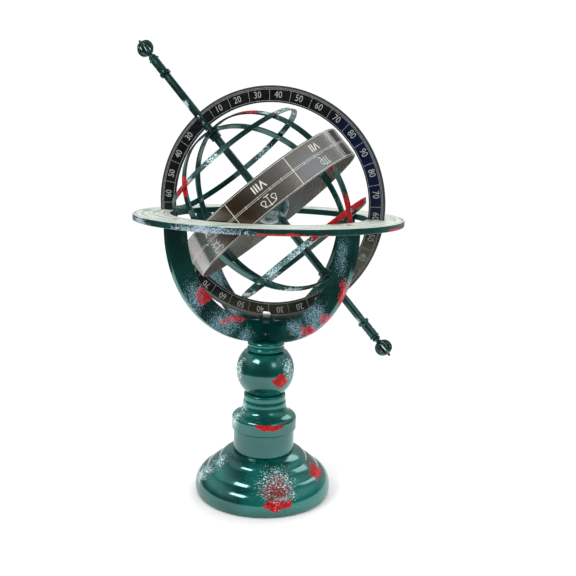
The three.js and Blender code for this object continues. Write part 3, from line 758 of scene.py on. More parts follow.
def foot_outline():
    radius, bottom, top = turned_size("foot")
    pocket_top = bottom + NUT_POCKET[1]
    middle = (radius - FOOT_ROLL[0], bottom + FOOT_ROLL_MIDDLE)
    start = math.asin(-FOOT_ROLL_MIDDLE / FOOT_ROLL[1])
    end = math.asin((FOOT_ROLL_HEIGHT - FOOT_ROLL_MIDDLE) / FOOT_ROLL[1])
    roll = arc(middle, FOOT_ROLL, start, end, 28)
    crease = roll[-1]
    rise = top - crease[1]
    groove = ((crease[0] + FOOT_SEAT_RADIUS) / 2, crease[1] + rise * GROOVE_RISE)
    outline = [(TIE_HOLE_RADIUS, pocket_top), (NUT_POCKET[0], pocket_top), (NUT_POCKET[0], bottom)]
    outline += roll
    outline += bend(crease, (crease[0] - CREASE_PULL[0], crease[1] + rise * CREASE_PULL[1]), groove, 12)
    seat_edge = (FOOT_SEAT_RADIUS + SEAT_EDGE[0], top - SEAT_EDGE[1])
    outline += bend(groove, (groove[0] - SEAT_PULL[0], top - SEAT_PULL[1]), seat_edge, 10)
    outline += [(FOOT_SEAT_RADIUS, top), (TIE_HOLE_RADIUS, top)]
    return outline


def drum_outline():
    radius, bottom, top = turned_size("drum")
    return softened(rectangle(TIE_HOLE_RADIUS, radius, bottom, top), 0.6)


def bell_outline():
    radius, bottom, top = turned_size("bell")
    shoulder = bottom + BELL_LIP_HEIGHT
    rise = top - shoulder
    neck = shoulder + rise * BELL_FLARE_END
    waist = BELL_NECK_RADIUS - BELL_NECK_STEP
    pull, flare_pull = (shoulder + rise * share for share in FLARE_PULLS)
    step_pull, step_end, straight = (neck + rise * share for share in NECK_STEP_ENDS)
    flare_start = (radius - rise * FLARE_START[0], shoulder + rise * FLARE_START[1])
    outline = [(TIE_HOLE_RADIUS, bottom), (radius - LIP_WIDTH, bottom)]
    outline += bend((radius - LIP_WIDTH, bottom), (radius, bottom), (radius, bottom + LIP_ROUNDING), 4)
    outline += [(radius, bottom + 2 * LIP_ROUNDING), (radius, shoulder)]
    outline += bend((radius, shoulder), (radius, pull), flare_start, 12)
    outline += bend(flare_start, (BELL_NECK_RADIUS, flare_pull), (BELL_NECK_RADIUS, neck), 12)
    outline += bend(outline[-1], (BELL_NECK_RADIUS, step_pull), (waist, step_end), 5)
    outline += [(waist, straight), (waist, top - NECK_ROUNDING[1])]
    outline += bend(outline[-1], (waist, top), (waist - NECK_ROUNDING[0], top), 5)
    outline += [(TIE_HOLE_RADIUS, top)]
    return outline


def ball_outline():
    radius, bottom, top = turned_size("ball_knop")
    middle = bottom + BALL_MIDDLE
    start = math.asin((bottom - middle) / radius)
    end = math.asin((top - middle) / radius)
    outline = [(TIE_HOLE_RADIUS, bottom)]
    outline += arc((0, middle), (radius, radius), start, end, 44)
    outline += [(TIE_HOLE_RADIUS, top)]
    return outline


def collar_outline():
    radius, bottom, top = turned_size("neck_collar")
    middle = (bottom + top) / 2
    groove = radius - COLLAR_GROOVE
    outline = [(TIE_HOLE_RADIUS, bottom), (groove, bottom)]
    for low, high, bulge in zip((bottom, middle), (middle, top), COLLAR_BULGES):
        outline += bend((groove, low), (radius + bulge, (low + high) / 2), (groove, high))
    outline += [(TIE_HOLE_RADIUS, top)]
    return outline


def make_pedestal():
    outlines = {
        "foot": foot_outline(), "drum": drum_outline(), "bell": bell_outline(),
        "ball_knop": ball_outline(), "neck_collar": collar_outline(),
    }
    for node, outline in outlines.items():
        solid = revolve(outline, BODY_SEGMENTS)
        build("turned_" + node, solid, STAND, "stand", "pedestal_enamel", node)
    radius, bottom, top = turned_size("felt_pad")
    pad = shaft(radius, bottom, top, BODY_SEGMENTS, 0.5)
    build("felt_disc", pad, STAND, "stand", "felt", "felt_pad")


# ---------------- cradle and horizon


def hoop(lap_from_below, azimuth):
    """Half a hoop, cut half through where it crosses the other one."""
    section = softened(rectangle(HOOP_INNER, HOOP_RADIUS, -HOOP_THICK / 2, HOOP_THICK / 2), 0.9)
    band = revolve(section, RING_SEGMENTS // 2, math.pi, math.pi)
    band.transform(Matrix.Translation((0, 0, HOOP_CENTRE)) @ TIPPED)
    lap_width = HOOP_THICK + 2 * LAP_GAP
    lap_height = HOOP_DEPTH / 2 + OVERSHOOT
    low = HOOP_BOTTOM - OVERSHOOT + LAP_GAP
    middle = low + lap_height / 2 if lap_from_below else CROSSING_TOP + OVERSHOOT - lap_height / 2
    lap = block((lap_width, lap_width, lap_height), (0, 0, middle))
    seat = shaft(SADDLE_RADIUS + FIT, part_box("meridian_saddle")[0].z / MM - FIT, CROSSING_TOP + OVERSHOOT)
    return moved(carved(band, lap, seat), Matrix.Rotation(azimuth, 4, "Z"))


def make_cradle():
    for name, azimuth, from_below in zip(("lower", "upper"), HOOP_AZIMUTHS, (False, True)):
        solid = hoop(from_below, azimuth)
        build("hoop_" + name, solid, STAND, "stand", "pedestal_enamel", "cradle_hoop_" + name,
              finish="cradle_enamel")
    low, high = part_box("cradle_lock_screw")
    direction = Matrix.Rotation(HOOP_AZIMUTHS[0] + math.pi / 4 - math.pi, 4, "Z")
    reach = (HOOP_THICK / 2 + FIT + LOCK_HEAD_RADIUS) * math.sqrt(2)
    ball = revolve(arc((0, 0), (LOCK_HEAD_RADIUS,) * 2, -math.pi / 2, math.pi / 2, 16), TINY_SEGMENTS)
    ball.transform(Matrix.Translation((reach, 0, 0)))
    shank = moved(shaft(LOCK_SHANK_RADIUS, TIE_HOLE_RADIUS + FIT, reach, TINY_SEGMENTS, 0.2), SIDEWAYS)
    place = Matrix.Translation((0, 0, (low.z + high.z) / 2)) @ direction
    build("lock_screw", joined(ball, shank), place, "stand", "steel", "cradle_lock_screw")
    make_saddle()


def make_saddle():
    low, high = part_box("meridian_saddle")
    plug = shaft(SADDLE_RADIUS, low.z / MM, high.z / MM, SMALL_SEGMENTS, 0.5)
    half = MERIDIAN_THICK / 2 + FIT
    groove = revolve(rectangle(MERIDIAN_INNER, MERIDIAN_RADIUS + FIT, -half, half), RING_SEGMENTS)
    groove.transform(Matrix.Translation((0, 0, CENTRE.z / MM)) @ TIPPED)
    build("saddle_plug", carved(plug, groove), STAND, "stand", "blackened_steel", "meridian_saddle")


HORIZON_CIRCLES = (1.6, 3.0, 9.0, 10.4, 19.5, 20.6, 29.0, 30.4, 33.6)  # grooves, in from the outer edge
GROOVE = (0.4, 0.25)  # width and depth
RIM_ROUNDING = 1.1
HOLE_ROUNDING = 0.4
SCREW_HOLE_GAP = 0.15
DRIVER_SLOT = (8, 0.8, 1.6)
NOTCH_HEIGHT = 12


def horizon_outline():
    inner, outer, low, high = HORIZON_INNER, HORIZON_RADIUS, HORIZON_BOTTOM, HORIZON_TOP
    outline = [(inner + RIM_ROUNDING, low), (outer - 2 * RIM_ROUNDING, low)]
    outline += bend((outer - RIM_ROUNDING, low), (outer, low), (outer, low + RIM_ROUNDING), 4)
    outline += [(outer, high - RIM_ROUNDING)]
    outline += bend(outline[-1], (outer, high), (outer - RIM_ROUNDING, high), 4)
    for inset in HORIZON_CIRCLES:
        radius = outer - inset
        half = GROOVE[0] / 2
        outline += [(radius + half, high), (radius, high - GROOVE[1]), (radius - half, high)]
    outline += [(inner + HOLE_ROUNDING, high)]
    outline += bend(outline[-1], (inner, high), (inner, high - HOLE_ROUNDING), 3)
    outline += [(inner, low + HOLE_ROUNDING), (inner + HOLE_ROUNDING, low)]
    return outline


def screw_places():
    reach = (HOOP_INNER + HOOP_RADIUS) / 2
    angles = [azimuth + half for azimuth in HOOP_AZIMUTHS for half in (0, math.pi)]
    return [Vector((reach * math.cos(angle), reach * math.sin(angle), HORIZON_TOP)) for angle in angles]


def screw_outline(grow):
    """A countersunk screw hanging from z = 0, or its hole."""
    head_height = SCREW_HEAD_RADIUS - SCREW_RADIUS
    radius = SCREW_RADIUS + grow
    head_radius = SCREW_HEAD_RADIUS + grow
    bottom = -SCREW_LENGTH - grow
    return [
        (0, bottom), (radius, bottom), (radius, -head_height - FIT),
        (head_radius, -FIT), (head_radius, grow), (0, grow),
    ]


def make_horizon():
    ring = revolve(horizon_outline(), 2 * RING_SEGMENTS)
    reach = MERIDIAN_RADIUS + HORIZON_NOTCH_CLEARANCE
    wide = MERIDIAN_THICK + 2 * HORIZON_NOTCH_CLEARANCE
    middle = (HORIZON_TOP + HORIZON_BOTTOM) / 2
    tools = [block((2 * reach, wide, NOTCH_HEIGHT), (0, 0, middle))]
    for place in screw_places():
        hole = revolve(screw_outline(SCREW_HOLE_GAP), TINY_SEGMENTS)
        tools.append(moved(hole, Matrix.Translation(place)))
    build("horizon", carved(ring, *tools), STAND, "stand", "horizon_enamel", "horizon_ring")
    for i, place in enumerate(screw_places(), 1):
        screw = carved(revolve(screw_outline(0), TINY_SEGMENTS), block(DRIVER_SLOT))
        screw.transform(Matrix.Translation(place) @ Matrix.Rotation(i, 4, "Z"))
        build(f"slotted_screw_{i}", screw, STAND, "stand", "steel", f"horizon_screw_{i}")


# ---------------- meridian ring, rods and globe


def pin_places():
    quarter = MERIDIAN_BAND / 4
    reaches = [ROD_JOINT - quarter, ROD_JOINT + quarter]
    return reaches + [-reach for reach in reaches]


def make_meridian_ring():
    half = MERIDIAN_THICK / 2
    ring = revolve(softened(rectangle(MERIDIAN_INNER, MERIDIAN_RADIUS, -half, half), 0.5), RING_SEGMENTS)
    ring.transform(TIPPED)
    length, width = SLOT_SIZE
    straight = (length - width) / 2
    bar = block((2 * straight, 4 * MERIDIAN_THICK, width))
    ends = []
    for side in (-1, 1):
        end = shaft(width / 2, -2 * MERIDIAN_THICK, 2 * MERIDIAN_THICK)
        end.transform(Matrix.Translation((side * straight, 0, 0)) @ TIPPED)
        ends.append(end)
    lowest = Matrix.Rotation(POLE_TILT, 4, "Y") @ Matrix.Translation((0, 0, SLOT_INSET - MERIDIAN_RADIUS))
    tools = [moved(tool, lowest) for tool in (bar, *ends)]
    build("meridian", carved(ring, *tools), MERIDIAN, "meridian", "gunmetal", "meridian_ring")


SLOT_OVERSHOOT = 2
SPIGOT_ROOT = 1  # how far the spigot starts inside its rod


def fork_slot(start, end):
    size = (2 * ROD_RADIUS + SLOT_OVERSHOOT, MERIDIAN_THICK + 2 * FIT, end - start)
    return block(size, (0, 0, (start + end) / 2))


def make_rods():
    end = ROD_JOINT - FIT / 2
    slot_start = MERIDIAN_INNER - FORK_WALL
    slot_end = end + SLOT_OVERSHOOT
    slots = [fork_slot(slot_start, slot_end), fork_slot(-slot_end, -slot_start)]
    axle = carved(shaft(ROD_RADIUS, -end, end), *slots)
    build("axle", axle, MERIDIAN, "meridian", "blackened_steel", "polar_axle")
    for name, reach, place in (("north", NORTH_REACH, MERIDIAN), ("south", SOUTH_REACH, SOUTH_END)):
        start = ROD_JOINT + FIT / 2
        rod = shaft(ROD_RADIUS, start, reach - FIT)
        rod = carved(rod, fork_slot(start - SLOT_OVERSHOOT, MERIDIAN_RADIUS + FORK_WALL))
        rod = joined(rod, shaft(SPIGOT[0], reach - SPIGOT_ROOT, reach + SPIGOT[1]))
        build(name + "_outer_rod", rod, place, "meridian", "blackened_steel", name + "_rod")
        make_finial(name, place @ Matrix.Translation((0, 0, reach * MM)))
        make_axle_collar(name, place)
    for i, reach in enumerate(pin_places(), 1):
        pin = rivet(PIN_RADIUS, PIN_HEAD, 2 * (ROD_RADIUS + FIT))
        pin.transform(Matrix.Translation((0, 0, reach)) @ TIPPED)
        build(f"pin_{i}", pin, MERIDIAN, "meridian", "steel", f"fork_pin_{i}")


def make_axle_collar(name, place):
    radius, length = AXLE_COLLAR
    top = math.sqrt(RIB_INSIDE**2 - BOSS[0] ** 2) - BOSS[1] - FIT
    outline = softened(rectangle(ROD_RADIUS + FIT / 2, radius, top - length, top), 0.7)
    collar = revolve(outline, SMALL_SEGMENTS)
    build(name + "_collar", collar, place, "meridian", "blackened_steel", name + "_axle_collar")


def finial_stem_outline():
    """Collar, sleeve with a groove, ring, acorn and neck, standing on z = 0."""
    inner = SPIGOT[0] + FIT
    outline = [(inner, 0), (5.4, 0)] + bend((5.4, 0), (5.8, 0), (5.8, 0.4), 3) + [(5.8, 2.6)]
    outline += bend((5.8, 2.6), (5.8, 3.2), (4.9, 3.2), 4)
    outline += bend((4.9, 3.2), (4.1, 4.2), (4.5, 5.6), 6)
    outline += [(4.6, 10), (4.2, 10.4), (4.2, 11.4), (4.6, 11.8), (4.5, 16.8)]
    outline += bend((4.5, 16.8), (4.2, 18.4), (4.9, 18.6), 5)
    outline += bend((4.9, 18.6), (5.9, 19.3), (4.9, 20.1), 6)
    outline += [(2.9, 20.2)] + bend((2.9, 20.2), (5.9, 22.3), (2.2, 24.5), 10)
    outline += bend((2.2, 24.5), (2.2, 25.4), (2.9, 25.6), 4)
    outline += [(2.9, FINIAL_STEM_LENGTH), (0, FINIAL_STEM_LENGTH)]
    outline += [(0, SPIGOT[1] + FIT), (inner, SPIGOT[1] + FIT)]
    return outline


CAGE_STRAP = (1.15, 1.8)  # half thickness and half width
CAGE_ROOT = 1.6  # radius at which the straps meet
CAGE_STEPS = 22


def finial_cage():
    """The openwork bulb, standing on z = 0."""
    length = FINIAL_CAGE_LENGTH
    base_outline = [(0, 0), (2.6, 0)] + bend((2.6, 0), (3.2, 0.8), (2.2, 1.6), 6) + [(0, 1.6)]
    tip_outline = [(0, length - 2)] + bend((0, length - 2), (2.6, length - 2), (2.4, length - 0.6), 5)
    tip_outline += bend(tip_outline[-1], (2.2, length + 0.2), (1.1, length + 0.6), 4)
    tip_outline += bend(tip_outline[-1], (2.0, length + 1.6), (0, length + 3.5), 6)
    pieces = [revolve(base_outline, TINY_SEGMENTS), revolve(tip_outline, TINY_SEGMENTS)]
    root = CAGE_ROOT
    bulge = (FINIAL_CAGE_RADIUS - CAGE_STRAP[0] - root * 0.25) / 0.75
    bottom, top = CAGE_ROOT / 2, length - CAGE_ROOT / 2
    path = []
    for i in range(CAGE_STEPS + 1):
        t = i / CAGE_STEPS
        weights = ((1 - t) ** 3, 3 * t * (1 - t) ** 2, 3 * t * t * (1 - t), t**3)
        radius = sum(w * r for w, r in zip(weights, (root, bulge, bulge, root)))
        height = sum(w * z for w, z in zip(weights, (bottom, bottom + 1, top - 1, top)))
        path.append(Vector((radius, 0, height)))
    for i in range(FINIAL_STRAPS):
        turn = Matrix.Rotation(2 * math.pi * i / FINIAL_STRAPS, 4, "Z")
        pieces.append(moved(tube_along(path, CAGE_STRAP), turn))
    return joined(*pieces)


def make_finial(name, place):
    stem = revolve(finial_stem_outline(), SMALL_SEGMENTS)
    build(name + "_stem", stem, place, "meridian", "blackened_steel", name + "_finial_stem")
    cage_place = place @ Matrix.Translation((0, 0, (FINIAL_STEM_LENGTH + FIT) * MM))
    build(name + "_cage", finial_cage(), cage_place, "meridian", "blackened_steel", name + "_finial_cage")


def make_globe():
    reach = math.sqrt(GLOBE_RADIUS**2 - (ROD_RADIUS + FIT) ** 2)
    end = math.atan2(reach, ROD_RADIUS + FIT)
    outline = arc((0, 0), (GLOBE_RADIUS, GLOBE_RADIUS), -end, end, 64)
    globe = revolve(outline, 2 * SMALL_SEGMENTS)
    build("globe", globe, MERIDIAN, "meridian", "globe_enamel", "earth_globe")


# ---------------- turning sphere


def rivet(radius, head, grip):
    """A shank along Z with a domed head at each end."""
    head_radius, head_thick = head
    half = grip / 2
    outline = [(0, -half - head_thick)]
    outline += bend(outline[-1], (head_radius, -half - head_thick), (head_radius, -half), 6)
    outline += [(radius, -half), (radius, half), (head_radius, half)]
    outline += bend((head_radius, half), (head_radius, half + head_thick), (0, half + head_thick), 6)
    return revolve(outline, TINY_SEGMENTS)


def place_rivet(name, node, strip_thick, latitude, turn):
    grip = RIB_THICK + strip_thick + 3 * FIT
    middle = RIB_INSIDE + grip / 2
    solid = rivet(RIVET_RADIUS, RIVET_HEAD, grip)
    lean = Matrix.Rotation(-latitude, 4, "Y") @ Matrix.Translation((middle, 0, 0))
    solid.transform(Matrix.Rotation(turn, 4, "Z") @ lean @ SIDEWAYS)
    build(name, solid, SPHERE, "sphere", "steel", node)


def make_ribs():
    gap = math.asin((ROD_RADIUS + RIB_POLE_GAP) / RIB_RADIUS)
    section = softened(rectangle(RIB_RADIUS - RIB_THICK, RIB_RADIUS, -RIB_WIDTH / 2, RIB_WIDTH / 2), 0.45)
    for i in range(RIB_COUNT):
        turn = 2 * math.pi * i / RIB_COUNT
        rib = revolve(section, RING_SEGMENTS // 2, gap - math.pi / 2, math.pi - 2 * gap)
        rib.transform(Matrix.Rotation(turn, 4, "Z") @ TIPPED)
        build(f"rib_{i + 1}", rib, SPHERE, "sphere", "strap_enamel", f"sphere_rib_{i + 1}")
        place_rivet(f"band_rivet_{i + 1}", f"zodiac_rivet_{i + 1}", ZODIAC_THICK, 0, turn)
        for end, latitude in (("north", PARALLEL_LATITUDE), ("south", -PARALLEL_LATITUDE)):
            node = f"{end}_parallel_rivet_{i + 1}"
            place_rivet(f"{end}_rivet_{i + 1}", node, PARALLEL_THICK, latitude, turn)


def parallel_outline():
    """A strip that lies on the ribs at its latitude."""
    along = Vector((math.cos(PARALLEL_LATITUDE), math.sin(PARALLEL_LATITUDE)))
    across = Vector((-along.y, along.x)) * (PARALLEL_WIDTH / 2)
    inner = along * (RIB_RADIUS + FIT)
    outer = along * (RIB_RADIUS + FIT + PARALLEL_THICK)
    corners = (inner - across, outer - across, outer + across, inner + across)
    return softened([tuple(corner) for corner in corners], 0.4)


def make_parallels_and_bosses():
    for end, flip in (("north", 0), ("south", math.pi)):
        place = SPHERE @ Matrix.Rotation(flip, 4, "X")
        strip = revolve(parallel_outline(), RING_SEGMENTS)
        build(end + "_circle", strip, place, "sphere", "strap_enamel", end + "_parallel")
        seat = RIB_INSIDE
        hole = ROD_RADIUS + FIT
        bottom = math.sqrt(seat**2 - BOSS[0] ** 2) - BOSS[1]
        edge = BOSS[0] - BOSS_ROUNDING
        outline = [(hole, bottom), (edge, bottom)]
        outline += bend((edge, bottom), (BOSS[0], bottom), (BOSS[0], bottom + BOSS_ROUNDING), 4)
        outline += arc((0, 0), (seat, seat), math.acos(BOSS[0] / seat), math.acos(hole / seat), 12)
        boss = revolve(outline, SMALL_SEGMENTS)
        build(end + "_boss", boss, place, "sphere", "blackened_steel", end + "_pole_boss")


def make_zodiac_band():
    half = ZODIAC_WIDTH / 2
    section = softened(rectangle(ZODIAC_RADIUS - ZODIAC_THICK, ZODIAC_RADIUS, -half, half), 0.45)
    band = revolve(section, RING_SEGMENTS)
    build("zodiac", band, SPHERE, "sphere", "antique_silver", "zodiac_band")


# ---------------- engraving

INLAY = 0.06  # how far engraved lines stand proud
INLAY_DEPTH = 0.2


def strokes_solid(strokes, lay):
    """Closed ribbons along strokes: each a (points, width); lay carries (x, y, height) onto the surface."""
    solid = bmesh.new()
    for points, width in strokes:
        line = [Vector(p) for p in points]
        rings = []
        for i, point in enumerate(line):
            ahead = (line[min(i + 1, len(line) - 1)] - line[max(i - 1, 0)]).normalized()
            side = Vector((-ahead.y, ahead.x)) * width / 2
            corners = ((point + side, INLAY), (point - side, INLAY), (point - side, -INLAY_DEPTH),
                       (point + side, -INLAY_DEPTH))
            rings.append([solid.verts.new(lay(p.x, p.y, height)) for p, height in corners])
        for near, far in zip(rings, rings[1:]):
            for j in range(4):
                k = (j + 1) % 4
                solid.faces.new((near[j], near[k], far[k], far[j]))
        solid.faces.new(rings[0])
        solid.faces.new(rings[-1])
    bmesh.ops.recalc_face_normals(solid, faces=solid.faces)
    return solid


def text_solid(text, size, boldness, lay):
    """Letters, centred on the origin, carried onto a surface."""
    curve = bpy.data.curves.new("letters", "FONT")
    curve.body = text
    curve.size = size
    curve.offset = boldness
    curve.extrude = (INLAY + INLAY_DEPTH) / 2
    curve.align_x = "CENTER"
    curve.align_y = "CENTER"
    curve.resolution_u = 3
    held = new_object("letters", curve)
    solid = solid_of(evaluated_mesh(held))
    bpy.data.objects.remove(held)
    bpy.data.curves.remove(curve)
    bmesh.ops.remove_doubles(solid, verts=solid.verts, dist=MERGE_DISTANCE)
    for vertex in solid.verts:
        x, y, z = vertex.co
        vertex.co = lay(x, y, z + (INLAY - INLAY_DEPTH) / 2)
    return solid


LABEL_PITCH = math.radians(11.25)
LABEL_SIZE = 9.0
LABEL_SQUEEZE = 0.86  # how narrow the numbers are
LABEL_DROP = 0.9  # how far the numbers stand inside the band's middle
LABELS_PER_HALF = 15
TICK_WIDTH = 0.32
TICK_LEAD = 0.42  # of a pitch, from a label back to its tick
SCALE_OUTER_LINES = (112.6, 111.3)
SCALE_INNER_LINE = 100.5
SCALE_LINE_WIDTHS = (0.3, 0.3, 0.35)


def make_meridian_scale():
    """Degrees round both faces of the meridian ring: three circles, ticks and numbers."""
    for face_name, facing in (("front", 0), ("back", math.pi)):
        turn = Matrix.Rotation(facing, 4, "Z")

        def on_face(x, y, height):
            return turn @ Vector((x, -MERIDIAN_THICK / 2 - height, y))

        strokes = []
        for radius, width in zip((*SCALE_OUTER_LINES, SCALE_INNER_LINE), SCALE_LINE_WIDTHS):
            strokes.append((arc((0, 0), (radius, radius), 0, 2 * math.pi, RING_SEGMENTS), width))
        solids = []
        for half in (0, math.pi):
            for k in range(1, LABELS_PER_HALF + 1):
                tick = half + (k - TICK_LEAD) * LABEL_PITCH
                spoke = Vector((math.sin(tick), math.cos(tick)))
                strokes.append(([spoke * SCALE_INNER_LINE, spoke * SCALE_OUTER_LINES[1]], TICK_WIDTH))
                angle = half + k * LABEL_PITCH
                middle = Vector((math.sin(angle), math.cos(angle))) * (ROD_JOINT - LABEL_DROP)

                def on_label(x, y, height, angle=angle, middle=middle):
                    x *= LABEL_SQUEEZE
                    across = x * math.cos(angle) + y * math.sin(angle)
                    upward = -x * math.sin(angle) + y * math.cos(angle)
                    return on_face(middle.x + across, middle.y + upward, height)

                number = 90 - abs(90 - 10 * k)
                solids.append(text_solid(str(number), LABEL_SIZE, 0.0, on_label))
        scale = joined(strokes_solid(strokes, on_face), *solids)
        build(f"degree_scale_{face_name}", scale, MERIDIAN, "meridian", "gunmetal", finish="grey_engraving")


SECTOR_COUNT = 9
SECTOR_PITCH = 2 * math.pi / SECTOR_COUNT
SECTOR_START = math.radians(-55)
SECTOR_NUMBERS = ("VII", "VI", "V", "IV", "III", "II", "I", "IX", "VIII")
SECTOR_PARTS = 5
FIGURE_SIZE = (6.2, 5.58)  # half width and half height
NUMERAL_SIZE = 10.5
NUMERAL_BOLDNESS = 0.16
SIGN_UP = 7.9  # the numerals' middle above the band's, and the signs' below it
BORDER_UP = 14.7
MIDDLE_LINE_UP = 0.75
BOLD_LINE = 0.7
BORDER_LINE = 0.45
FINE_LINE = 0.35


def ring_stroke(x, y, radius, start=0, end=360):
    steps = max(6, int(abs(end - start) / 20))
    return arc((x, y), (radius, radius), math.radians(start), math.radians(end), steps)


def both_sides(*strokes):
    """The strokes and their mirror images."""
    return (*strokes, *([(-x, y) for x, y in stroke] for stroke in strokes))


# The old signs, drawn in a square from -1 to 1, one for each sector.
FIGURES = (
    # maiden
    ([(-1, 0.6), (-0.8, 0.8), (-0.65, 0.6), (-0.65, -0.6)],
     [(-0.65, 0.6), (-0.4, 0.8), (-0.2, 0.6), (-0.2, -0.6)],
     [(-0.2, 0.6), (0.05, 0.8), (0.25, 0.6), (0.25, -0.5), (0.8, -1)],
     ring_stroke(0.4, 0.1, 0.42, 110, -120)),
    # archer
    ([(-0.9, -0.9), (0.9, 0.9)], [(0.2, 0.9), (0.9, 0.9), (0.9, 0.2)], [(-0.7, -0.1), (0.0, -0.8)]),
    # lion
    (ring_stroke(-0.6, -0.2, 0.3), ring_stroke(0.05, 0.35, 0.5, 220, -20),
     [(0.53, 0.2), (0.3, -0.5), (0.9, -0.7)]),
    # twins
    (ring_stroke(0, 1.6, 1.0, 220, 320), ring_stroke(0, -1.6, 1.0, 140, 40),
     *both_sides([(-0.4, 0.7), (-0.4, -0.7)])),
    # bull
    (ring_stroke(0, -0.35, 0.5), ring_stroke(0, 0.85, 0.7, 200, 340)),
    # ram
    (ring_stroke(-0.45, 0.45, 0.42, 220, 0) + [(0, -0.9)], ring_stroke(0.45, 0.45, 0.42, -40, 180)),
    # fishes
    (ring_stroke(-1.3, 0, 1.1, -50, 50), ring_stroke(1.3, 0, 1.1, 130, 230), [(-0.7, 0), (0.7, 0)]),
    # crab, with its claws and legs
    (ring_stroke(0, -0.1, 0.45),
     *both_sides(ring_stroke(-0.75, 0.55, 0.26, 60, 330), [(-0.5, 0.35), (-0.3, 0.2)],
                 [(-0.4, -0.2), (-0.95, -0.3)], [(-0.3, -0.45), (-0.75, -0.85)])),
    # scales, with a beam and two pans
    ([(0, -0.9), (0, 0.85)], [(-0.45, -0.9), (0.45, -0.9)], [(-0.95, 0.55), (0, 0.75), (0.95, 0.55)],
     *both_sides([(-0.95, 0.55), (-1.25, -0.2)], [(-0.95, 0.55), (-0.55, -0.2)],
                 ring_stroke(-0.9, -0.15, 0.4, 180, 360))),
)


def on_band(angle, up, height):
    reach = ZODIAC_RADIUS + height
    return Vector((reach * math.cos(angle), reach * math.sin(angle), up))


def make_zodiac_engraving():
    """Border lines, a divided double middle line, sector lines, numerals above and signs below."""

    def lay(x, y, height):
        return on_band(x / ZODIAC_RADIUS, y, height)

    strokes = []
    round_band = [ZODIAC_RADIUS * 2 * math.pi * i / RING_SEGMENTS for i in range(RING_SEGMENTS + 1)]
    for reach, width in ((BORDER_UP, BORDER_LINE), (MIDDLE_LINE_UP, FINE_LINE)):
        for up in (reach, -reach):
            strokes.append(([(x, up) for x in round_band], width))
    solids = []
    for k in range(SECTOR_COUNT):
        edge = ZODIAC_RADIUS * (SECTOR_START + SECTOR_PITCH * k)
        strokes.append(([(edge, -BORDER_UP), (edge, BORDER_UP)], BOLD_LINE))
        for part in range(1, SECTOR_PARTS):
            x = edge + ZODIAC_RADIUS * SECTOR_PITCH * part / SECTOR_PARTS
            strokes.append(([(x, -2 * MIDDLE_LINE_UP), (x, 2 * MIDDLE_LINE_UP)], FINE_LINE))
        middle = edge + ZODIAC_RADIUS * SECTOR_PITCH / 2

        def upside_down(x, y, height, middle=middle):
            return lay(middle - x, SIGN_UP - y, height)

        solids.append(text_solid(SECTOR_NUMBERS[k], NUMERAL_SIZE, NUMERAL_BOLDNESS, upside_down))
        for stroke in FIGURES[k]:
            points = [(middle - FIGURE_SIZE[0] * x, -SIGN_UP - FIGURE_SIZE[1] * y) for x, y in stroke]
            strokes.append((points, BOLD_LINE))
    engraved = joined(strokes_solid(strokes, lay), *solids)
    build("zodiac_engraving", engraved, MERIDIAN, "sphere", "antique_silver", finish="pale_engraving")


# ---------------- hidden steel


def finish_hidden_steel():
    for name in ("tie_washer", "tie_nut", "tie_rod"):
        node = frame["nodes"][name]
        node.data.materials.clear()
        node.data.materials.append(FINISHES["steel"])


# ---------------- stage

FLOOR_RADIUS = 0.5
FLOOR_WHITE = (0.97, 0.97, 0.97, 1)
WORLD_STRENGTH = 1.05
DIM_ROOM = (0.06, 0.065, 0.066, 1)
BRIGHT_ROOM = (0.62, 0.64, 0.66, 1)


LIGHT_TARGET = (0, 0, 0.2)
LIGHTS = (  # name, place, width and height, power
    ("key_box", (-0.9, -1.3, 1.5), (0.9, 0.4), 15),
    ("fill_box", (1.3, -1.0, 1.1), (0.5, 0.5), 2),
    ("back_box", (0.2, 1.6, 1.5), (1.6, 0.8), 10),
)


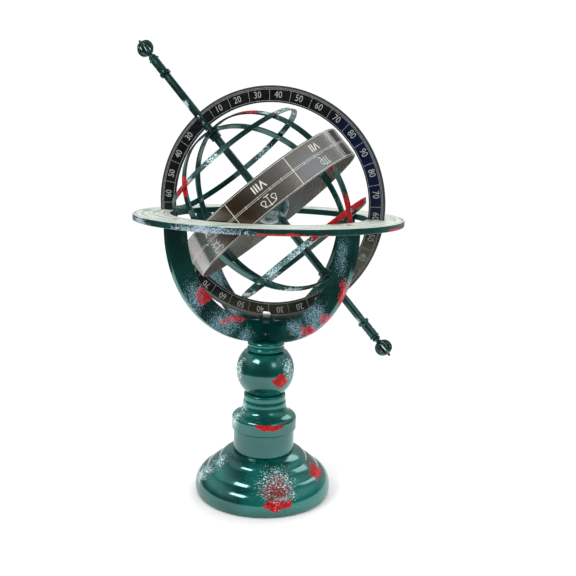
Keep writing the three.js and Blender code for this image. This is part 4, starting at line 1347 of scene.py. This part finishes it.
def make_floor():
    disc = bmesh.new()
    bmesh.ops.create_circle(disc, cap_ends=True, segments=BODY_SEGMENTS, radius=FLOOR_RADIUS)
    floor = new_object("floor", mesh_of("floor", disc))
    recipe = Recipe("floor")
    recipe.set(Base_Color=FLOOR_WHITE, Roughness=0.9)
    floor.data.materials.append(recipe.material)


def make_world():
    """White all round, but polished surfaces see a dim room with a pale backdrop and pale side panels."""
    world = bpy.data.worlds.new("studio")
    bpy.context.scene.world = world
    world.use_nodes = True
    nodes = Nodes(world.node_tree)
    white = nodes.tree.nodes["Background"]
    nodes.feed(white.inputs["Color"], (1, 1, 1, 1))
    nodes.feed(white.inputs["Strength"], WORLD_STRENGTH)
    parts = nodes.node("ShaderNodeSeparateXYZ", {0: nodes.coordinates.outputs["Generated"]})
    sideways = nodes.range(nodes.math("ABSOLUTE", parts.outputs[0]), 0.35, 0.8)
    panels = nodes.math("MULTIPLY", sideways, nodes.range(parts.outputs[2], 0.1, 0.5))
    backdrop = nodes.range(parts.outputs[1], 0.35, 0.85, 0, 0.8)
    tint = nodes.mix(nodes.math("MAXIMUM", panels, backdrop), DIM_ROOM, BRIGHT_ROOM)
    room = nodes.node("ShaderNodeBackground", {"Color": tint})
    ray = nodes.node("ShaderNodeLightPath", {})
    inputs = {0: ray.outputs["Is Glossy Ray"], 1: white.outputs[0], 2: room.outputs[0]}
    seen = nodes.node("ShaderNodeMixShader", inputs)
    nodes.feed(nodes.tree.nodes["World Output"].inputs[0], seen.outputs[0])


def make_light(name, place, target, size, power):
    data = bpy.data.lights.new(name, "AREA")
    data.shape = "RECTANGLE"
    data.size, data.size_y = size
    data.energy = power
    lamp = new_object(name, data)
    lamp.location = place
    lamp.rotation_mode = "QUATERNION"
    lamp.rotation_quaternion = (Vector(target) - Vector(place)).to_track_quat("-Z", "Y")


def make_stage():
    make_floor()
    make_world()
    for name, place, size, power in LIGHTS:
        make_light(name, place, LIGHT_TARGET, size, power)
    bpy.context.scene.view_settings.view_transform = "Standard"


# ---------------- everything

make_pedestal()
make_cradle()
make_horizon()
make_meridian_ring()
make_rods()
make_globe()
make_ribs()
make_parallels_and_bosses()
make_zodiac_band()
make_meridian_scale()
make_zodiac_engraving()
finish_hidden_steel()
make_stage()
